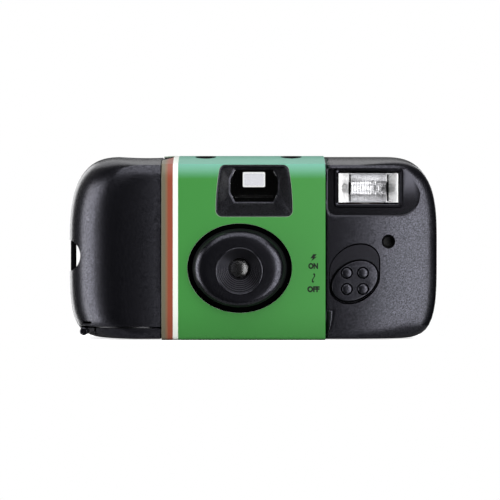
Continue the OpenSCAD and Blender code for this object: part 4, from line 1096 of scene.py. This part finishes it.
def flash_switch():
    """Tilted oval plate on a stem, with a skirt painted dark as shade round its edge and four grip dots in
    wells painted dark as shade.
    """
    low = TRACK_DEPTH - SLIDE_FIT
    top = low - SWITCH_T
    edge, skirt, brim, steps = 0.3, 0.28, 0.12, 6
    rings = [on_panel(switch_outline(-skirt), low)]
    for k in range(steps + 1):
        t = math.pi / 2 * k / steps
        rings.append(on_panel(switch_outline(-skirt - edge + edge * math.cos(t)),
                              top + edge - edge * math.sin(t)))
    plate = loft("switch_plate", rings, bezel_black)
    around = ((brim, low), (brim, top + 0.6), (-skirt / 2, top + 0.45), (-skirt, top + 0.4),
              (-skirt - 0.05, low))
    # The skirt is painted shade along the plate's side.
    rim = loft("switch_skirt", [on_panel(switch_outline(grow), y) for grow, y in around], dull_black_and_painted_shade,
               closed=True)
    place(rim, "switch", "case_black")
    well = ((-2, DOT_R + 0.3), (0, DOT_R + 0.3), (0.3, DOT_R + 0.16))
    # The wells round the dots are painted dark as shade.
    cut(plate, *[loft("dot_well", dot_rings(i, j, top, well), dull_black_and_painted_shade) for i, j in DOTS])
    node = frame["nodes"]["flash_switch"]
    stem_end = max((node.matrix_world @ Vector(c)).y for c in node.bound_box) / MM
    half, bite = 1.2, 0.3
    stem = block("switch_stem", (SWITCH_X - half, panel_y(SWITCH_X) + low - bite, SWITCH_Z - half),
                 (SWITCH_X + half, stem_end, SWITCH_Z + half), bezel_black)
    combine(plate, "UNION", [stem])
    smooth(plate, angle=40)
    place(plate, "switch", "case_black", "flash_switch")
    knob = ((0.4, DOT_R), (-0.25, DOT_R - 0.03), (-0.38, DOT_R - 0.12), (-0.47, DOT_R - 0.3),
            (-0.51, DOT_R - 0.55), (-0.54, DOT_R - 0.9), (-DOT_H, DOT_R - 1.3))
    for i, j in DOTS:
        dot = loft(f"switch_dot_{i + 1}{j + 1}", dot_rings(i, j, top, knob), bezel_black)
        smooth(dot, angle=50)
        place(dot, "switch", "case_black")


flash_switch()


# Button, counter and wheel
BUTTON_TRAVEL, STEM_X, STEM_Y, RELEASE_Z = 1.0, -23.6, -4.6, 36.3
BUTTON_RISE, ARM_R, STEM_R = 0.7, 2.0, 1.0
DISC_X, DISC_Y, DISC_TOP, DISC_MOST, DISC_STEP, DIGIT = -14.2, 3.0, WHEEL_TOP + 2.5, 27, 3, 1.7
CAP_SHARE, RAISED, BOLDER, FONT_STEPS = 0.7, 0.02, 0.085, 6


def link_outline(ends, steps=64):
    """Outline round two discs: for every direction, the disc that reaches farthest."""
    points = []
    for t in turns(steps):
        ux, uy = math.cos(t), math.sin(t)
        x, y, r = max(ends, key=lambda end: end[0] * ux + end[1] * uy + end[2])
        points.append((x + r * ux, y + r * uy))
    return points


def shutter_button():
    """Crowned cap on a flange, with an arm to the stem that presses the release lever."""
    top = top_at(BUTTON_Y) - LABEL_T - DISH_DEPTH + BUTTON_RISE
    crown, edge, edge_steps, crown_steps, gap = 40.0, 0.5, 5, 9, 0.01
    low, flange_t, flange_r = WHEEL_TOP + BUTTON_TRAVEL + FIT, 0.7, BUTTON_R + 1.3
    high, flat_r = low + flange_t, BUTTON_R - edge
    drop = crown - math.sqrt(crown ** 2 - flat_r ** 2)
    profile = [(flange_r, low), (flange_r, high), (BUTTON_R, high + gap)]
    for k in range(edge_steps + 1):
        t = math.pi / 2 * k / edge_steps
        profile.append((flat_r + edge * math.cos(t), top - drop - edge + edge * math.sin(t)))
    for k in range(crown_steps - 1, 0, -1):
        r = flat_r * k / crown_steps
        profile.append((r, top - crown + math.sqrt(crown ** 2 - r * r)))
    button = loft("button_cap", [level_ring(BUTTON_X, BUTTON_Y, z, r) for r, z in profile], case_black)
    outline = link_outline([(BUTTON_X, BUTTON_Y, ARM_R), (STEM_X, STEM_Y, STEM_R + 0.02)])
    arm = loft("button_arm", [[(x, y, z) for x, y in outline] for z in (low + gap, high - gap)], case_black)
    stem = post("button_stem", STEM_X, STEM_Y, RELEASE_Z, high, STEM_R, case_black)
    combine(button, "UNION", [arm])
    combine(button, "UNION", [stem])
    smooth(button, angle=35)
    place(button, "button", "case_black", "shutter_button")


def counter_glass():
    top, side = top_at(COUNT_Y) - LABEL_T - 0.5, COUNT_R - 0.05
    profile = ((side, top - 0.9), (side, top - 0.15), (COUNT_R - 0.2, top))
    cover = loft("counter_glass", [level_ring(COUNT_X, COUNT_Y, z, r) for r, z in profile], window_clear)
    smooth(cover, angle=30)
    place(cover, "case", "clear_plastic", "counter_window")


def thumbwheel():
    """Ribbed wheel with a chamfer on both edges of its rim, on a hub with a fork below."""
    cuts, rib, edge = 6, 0.4, 0.35

    def rim(z, inset):
        points = []
        for t in turns(cuts * WHEEL_RIBS):
            r = WHEEL_R - inset - rib * (0.5 - 0.5 * math.cos(WHEEL_RIBS * t)) ** 2
            points.append((CART_X + r * math.cos(t), CART_Y + r * math.sin(t), z))
        return points

    rings = [rim(WHEEL_Z, edge), rim(WHEEL_Z + edge, 0), rim(WHEEL_TOP - edge, 0), rim(WHEEL_TOP, edge)]
    wheel = loft("advance_wheel", rings, smooth_black)
    bearing_z, hub_r, fork_l, fork_x, fork_y = WHEEL_Z - 0.8 - FIT, 6.0, 3, 2.6, 0.7
    hub = post("wheel_hub", CART_X, CART_Y, bearing_z - 0.1, WHEEL_Z + 0.2, hub_r, smooth_black)
    fork = block("wheel_fork", (CART_X - fork_x, CART_Y - fork_y, bearing_z - fork_l),
                 (CART_X + fork_x, CART_Y + fork_y, bearing_z), smooth_black)
    combine(wheel, "UNION", [hub])
    combine(wheel, "UNION", [fork])
    smooth(wheel, angle=30)
    place(wheel, "thumbwheel", "case_black", "thumbwheel")


def disc_numbers():
    """Numbers on the frame counter, counting down by threes, read from behind the camera."""
    start = math.atan2(COUNT_Y - DISC_Y, COUNT_X - DISC_X)
    reach = math.hypot(COUNT_X - DISC_X, COUNT_Y - DISC_Y)
    count = DISC_MOST // DISC_STEP + 1
    for k in range(count):
        turn = start + 2 * math.pi * k / count
        x, y = DISC_X + reach * math.cos(turn), DISC_Y + reach * math.sin(turn)
        spot = Matrix.Translation((x * MM, y * MM, DISC_TOP * MM))
        number = DISC_MOST - k * DISC_STEP
        lettering(f"count_{number}", str(number), DIGIT, spot @ Matrix.Rotation(turn - math.pi / 2, 4, "Z"),
                  "counter", "white_plastic")


def lettering(name, text, height, where, body, slot, width=None):
    """Raised letters of the built-in font, centred on the place and turned as where says."""
    curve = bpy.data.curves.new(name, "FONT")
    curve.body = text
    curve.size = height * MM / CAP_SHARE
    curve.align_x = "CENTER"
    curve.align_y = "CENTER"
    curve.extrude = RAISED * MM
    curve.offset = height * BOLDER * MM
    curve.resolution_u = FONT_STEPS
    source = bpy.data.objects.new(name, curve)
    scene.collection.objects.link(source)
    bpy.context.view_layer.update()
    graph = bpy.context.evaluated_depsgraph_get()
    mesh = bpy.data.meshes.new_from_object(source.evaluated_get(graph))
    bpy.data.objects.remove(source)
    if width:
        reach = [corner.co.x for corner in mesh.vertices]
        mesh.transform(Matrix.Scale(width * MM / (max(reach) - min(reach)), 4, (1, 0, 0)))
    mesh.transform(where)
    mesh.materials.clear()
    mesh.materials.append(print_dark)
    printed = bpy.data.objects.new(name + "_print", mesh)
    scene.collection.objects.link(printed)
    place(printed, body, slot)


shutter_button()
counter_glass()
thumbwheel()
disc_numbers()


# Marks printed beside the switch
MARK_Y, MARK_BACK = FRONT_Y - 0.012, FRONT_Y + 0.05
BOLT_X, BOLT_Z, BOLT_W, BOLT_H = 17.771, 23.797, 1.9, 2.1
ON_X, ON_Z, ON_W = 17.684, 21.342, 2.8
OFF_X, OFF_Z, OFF_W = 17.713, 14.640, 3.55
SLIDE_X, SLIDE_Z, SLIDE_H = 17.742, 17.962, 3.0
WORD_H = 1.5


def flat_mark(name, points):
    """A thin printed shape on the front of the band."""
    mark = loft(name, [at_depth(points, y) for y in (MARK_Y, MARK_BACK)], print_dark)
    place(mark, "case", "label_card")


def word(name, text, x, z, width):
    where = Matrix.Translation((x * MM, MARK_Y * MM, z * MM)) @ Matrix.Rotation(math.pi / 2, 4, "X")
    lettering(name, text, WORD_H, where, "case", "label_card", width)


def bolt_mark():
    shape = [(0.45, 1.0), (0.0, 0.42), (0.38, 0.44), (0.12, 0.0), (1.0, 0.64), (0.62, 0.62), (1.0, 1.0)]
    flat_mark("bolt_mark", [(BOLT_X + (u - 0.5) * BOLT_W, BOLT_Z + (v - 0.5) * BOLT_H) for u, v in shape])


def slide_mark():
    """A wavy stroke with a small arrow head at each end."""
    half, stroke, steps, lean = SLIDE_H / 2, 0.17, 16, 0.45
    wave, drift, length, head_w, head_from = lean * 0.5, lean * 0.35, 0.8, 0.4, 0.62
    middle = []
    for i in range(steps + 1):
        t = -1 + 2 * i / steps
        middle.append((SLIDE_X + wave * math.sin(math.pi * t) + drift * t, SLIDE_Z + t * half * length))
    left = [(x - stroke, z) for x, z in middle]
    right = [(x + stroke, z) for x, z in middle]
    flat_mark("slide_mark", left + right[::-1])
    for name, t in (("slide_mark_up", 1), ("slide_mark_down", -1)):
        tip, back = SLIDE_X + drift * t, SLIDE_Z + t * half * head_from
        flat_mark(name, [(tip - head_w, back), (tip, SLIDE_Z + t * half), (tip + head_w, back)])


bolt_mark()
word("word_on", "ON", ON_X, ON_Z, ON_W)
slide_mark()
word("word_off", "OFF", OFF_X, OFF_Z, OFF_W)


# Sensor cup, cartridge door and its latch
LATCH_X = -45.4
KNOB_X, KNOB_Z, KNOB_FRONT, KNOB_BACK, KNOB_R = -49.15, 2.3, -6.6, -3.05, 1.15


def sensor_cup():
    """Dark cup behind the small round hole in the front."""
    y0, y1, wall, hub = panel_y(SENSOR_X) + 0.9, panel_y(SENSOR_X) + 3.4, 0.3, 0.05
    profile = ((y0, SENSOR_R + wall), (y0, SENSOR_R), (y1 - 0.3, SENSOR_R - 0.5), (y1 - 0.2, hub), (y1, hub),
               (y1, SENSOR_R), (y1 - 1.0, SENSOR_R + wall))
    cup = loft("sensor_cup", [oval_ring(SENSOR_X, SENSOR_Z, y, r, r, FINE) for y, r in profile], inner_black,
               closed=True)
    smooth(cup, angle=40)
    place(cup, "case", "inner_black")


def cartridge_door():
    """Flap cut out of the form of the case: a plate under the base with a lip round the grip."""
    depths = (0, 0.02, 0.05, 0.1, 0.2, 0.3, 0.45, 0.6, 0.8, 1.0, 1.4, 2, 2.8, 3.5, 4.3, 5.2, 6, 7.2, 8.5,
              9.8, 11, 12.2, 13.8, 16, 20, 24, 27, 28, 28.7, 29.1, 29.35, 29.5)
    caps, over, far = 8, 0.02, 4.0
    skin = [case_ring(FRONT_Y + d, LABEL_T) for d in depths]
    face = cap_rings(skin[0], lambda x: SKIN_Y - swell(x, FRONT_Y), caps)
    back = cap_rings(skin[-1], lambda x: REAR_Y, caps)
    door = loft("door_flap", face + skin + back[::-1], case_black)
    top = LABEL_T + DOOR_T
    side = [(FRONT_Y - far, -far), (BACK_Y + far, -far), (BACK_Y + far, top), (DOOR_WRAP_Y, top),
            (DOOR_WRAP_Y, DOOR_LIP), (FRONT_Y - far, DOOR_LIP)]
    region = loft("door_region", [[(x, y, z) for y, z in side] for x in (DOOR_X0, DOOR_X1)], case_black)
    combine(door, "INTERSECT", [region])
    inner = [case_ring(FRONT_Y + d, INNER) for d in depths[::2]]
    raised = [case_ring(FRONT_Y + d, over) for d in depths]
    bar = loft("latch_bar", cap_rings(raised[0], lambda x: FRONT_Y - swell(x, FRONT_Y), caps) + raised,
               case_black)
    bar_h, bar_end, gap_from, gap_to, gap_up = 1.1, 0.4, 0.2, 0.15, 0.4
    combine(bar, "INTERSECT", [block("bar_region", (DOOR_X0, FRONT_Y - far, DOOR_LIP - bar_h),
                                     (LATCH_X - bar_end, DOOR_WRAP_Y, DOOR_LIP), case_black)])
    combine(door, "UNION", [bar])
    cut(door, block("latch_gap", (LATCH_X - gap_from, FRONT_Y - far, top + gap_up),
                    (LATCH_X + gap_to, DOOR_WRAP_Y - 1, DOOR_LIP + far), inner_black))
    cut(door, loft("door_hollow", inner, inner_black),
        post("cartridge_cutter", CART_X, CART_Y, top, DOOR_LIP + far, WHEEL_R + FIT, inner_black))
    upright, lip_from = 0.8, DOOR_LIP - 0.2
    # Top faces of the lip, seen through the seam, are painted dark as shade.
    paint(door, dull_black_and_painted_shade, lambda at, flat: flat.normal.z > upright and at.z > lip_from)
    smooth(door)
    place(door, "door", "case_black", "cartridge_door")


def latch_knob():
    """Round end of the latch at the corner of the door, with a groove round its middle."""
    least, around = 0.01, 40
    profile = [(least, 0.0), (0.55, 0.0), (0.62, 0.2), (0.78, 0.2), (0.84, 0.0), (1.02, 0.05), (KNOB_R, 0.2)]
    profile += [(r, KNOB_BACK - KNOB_FRONT) for r in (KNOB_R, least)]
    rings = [oval_ring(KNOB_X, KNOB_Z, KNOB_FRONT + d, r, r, around) for r, d in profile]
    knob = loft("latch_knob", rings, smooth_black)
    smooth(knob, angle=35)
    place(knob, "door", "case_black")


sensor_cup()
cartridge_door()
latch_knob()


# Camera
VIEW_DISTANCE, VIEW_WIDTH, SENSOR_MM, FARTHEST = 560.0, 147.7, 36.0, 10
AIM = Vector((-0.6, 0.0, 26.05))


def add_camera():
    """A level camera in front of the part."""
    camera = bpy.data.cameras.new("camera")
    camera.sensor_width = SENSOR_MM
    camera.lens = VIEW_DISTANCE / VIEW_WIDTH * camera.sensor_width
    camera.clip_end = FARTHEST
    obj = bpy.data.objects.new("camera", camera)
    obj.location = (AIM + Vector((0, -VIEW_DISTANCE, 0))) * MM
    obj.rotation_euler = (math.pi / 2, 0, 0)
    scene.collection.objects.link(obj)
    scene.camera = obj


# Light
def add_softbox(name, bearing, height, distance, width, tall, radiance):
    """A soft area lamp; bearing turns from the front towards the right, height is in degrees."""
    lamp = bpy.data.lights.new(name, "AREA")
    lamp.shape = "RECTANGLE"
    lamp.size = width * MM
    lamp.size_y = tall * MM
    lamp.energy = radiance * math.pi * lamp.size * lamp.size_y
    obj = bpy.data.objects.new(name, lamp)
    a, e = math.radians(bearing), math.radians(height)
    arm = Vector((math.sin(a) * math.cos(e), -math.cos(a) * math.cos(e), math.sin(e)))
    obj.location = (AIM + arm * distance) * MM
    obj.rotation_euler = arm.to_track_quat("Z", "Y").to_euler()
    scene.collection.objects.link(obj)


def add_world():
    """White for the camera, behind glass and up behind the case in reflections; dim elsewhere."""
    world = bpy.data.worlds.new("world")
    scene.world = world
    world.use_nodes = True
    nodes, links = world.node_tree.nodes, world.node_tree.links
    nodes.clear()

    def feed(value, socket):
        if isinstance(value, float):
            socket.default_value = value
        else:
            links.new(value, socket)

    def calculate(operation, a, b):
        node = nodes.new("ShaderNodeMath")
        node.operation = operation
        feed(a, node.inputs[0])
        feed(b, node.inputs[1])
        return node.outputs[0]

    def choose(factor, no, yes):
        node = nodes.new("ShaderNodeMix")
        links.new(factor, node.inputs["Factor"])
        feed(no, node.inputs["A"])
        feed(yes, node.inputs["B"])
        return node.outputs["Result"]

    path = nodes.new("ShaderNodeLightPath").outputs
    where = nodes.new("ShaderNodeTexCoord")
    split = nodes.new("ShaderNodeSeparateXYZ")
    links.new(where.outputs["Generated"], split.inputs["Vector"])
    behind = map_range(world.node_tree, split.outputs["Y"], *BEHIND_FADE)
    above = map_range(world.node_tree, split.outputs["Z"], *ABOVE_FADE)
    above = calculate("MULTIPLY", calculate("MULTIPLY", behind, above), BEHIND)
    level = choose(path["Is Glossy Ray"], AMBIENT, calculate("ADD", above, REFLECTED))
    level = choose(path["Is Transmission Ray"], level, calculate("ADD", behind, REFLECTED))
    level = choose(path["Is Camera Ray"], level, 1.0)
    sky = nodes.new("ShaderNodeBackground")
    sky.inputs["Color"].default_value = (1, 1, 1, 1)
    links.new(level, sky.inputs["Strength"])
    out = nodes.new("ShaderNodeOutputWorld")
    links.new(sky.outputs[0], out.inputs["Surface"])


def add_floor():
    """White table top that shows the soft shadow under the case, and is dark in reflections."""
    look = bpy.data.materials.new("floor")
    look.use_nodes = True
    nodes, links = look.node_tree.nodes, look.node_tree.links
    shader = nodes["Principled BSDF"]
    pale, dim = 0.8, 0.35
    adjust(shader, {"Base Color": (pale, pale, pale, 1), "Roughness": 1.0, "Specular IOR Level": 0.0,
                    "Emission Color": (1, 1, 1, 1), "Emission Strength": FLOOR_GLOW})
    dark = nodes.new("ShaderNodeBsdfDiffuse")
    adjust(dark, {"Color": (dim, dim, dim, 1)})
    mix = nodes.new("ShaderNodeMixShader")
    path = nodes.new("ShaderNodeLightPath")
    links.new(path.outputs["Is Camera Ray"], mix.inputs["Fac"])
    links.new(dark.outputs[0], mix.inputs[1])
    links.new(shader.outputs[0], mix.inputs[2])
    links.new(mix.outputs[0], nodes["Material Output"].inputs["Surface"])
    x, front, back, z = 57, -26, 26, -0.05
    corners = [(-x, front, z), (x, front, z), (x, back, z), (-x, back, z)]
    new_object("floor", corners, [(0, 1, 2, 3)], look)


FLOOR_GLOW = 0.75
AMBIENT, REFLECTED, BEHIND = 0.55, 0.02, 0.15
BEHIND_FADE, ABOVE_FADE = (0.05, 0.3), (0.0, 0.35)
# Name, bearing, height, distance, width, tall, radiance
SOFTBOXES = (
    ("left_box", -79, -4, 500, 280, 560, 5.6),
    ("left_edge", -56, -4, 500, 120, 560, 0.9),
    ("right_box", 38, -2, 520, 390, 560, 5.0),
    ("top_box", 0, 56, 500, 620, 480, 2.7),
    ("back_box", 180, 48, 500, 700, 300, 1.1),
    ("rear_left_box", -146, 6, 500, 170, 420, 2.6),
    ("rear_right_box", 146, 6, 500, 170, 420, 2.6),
)
add_camera()
add_world()
add_floor()
for softbox in SOFTBOXES:
    add_softbox(*softbox)
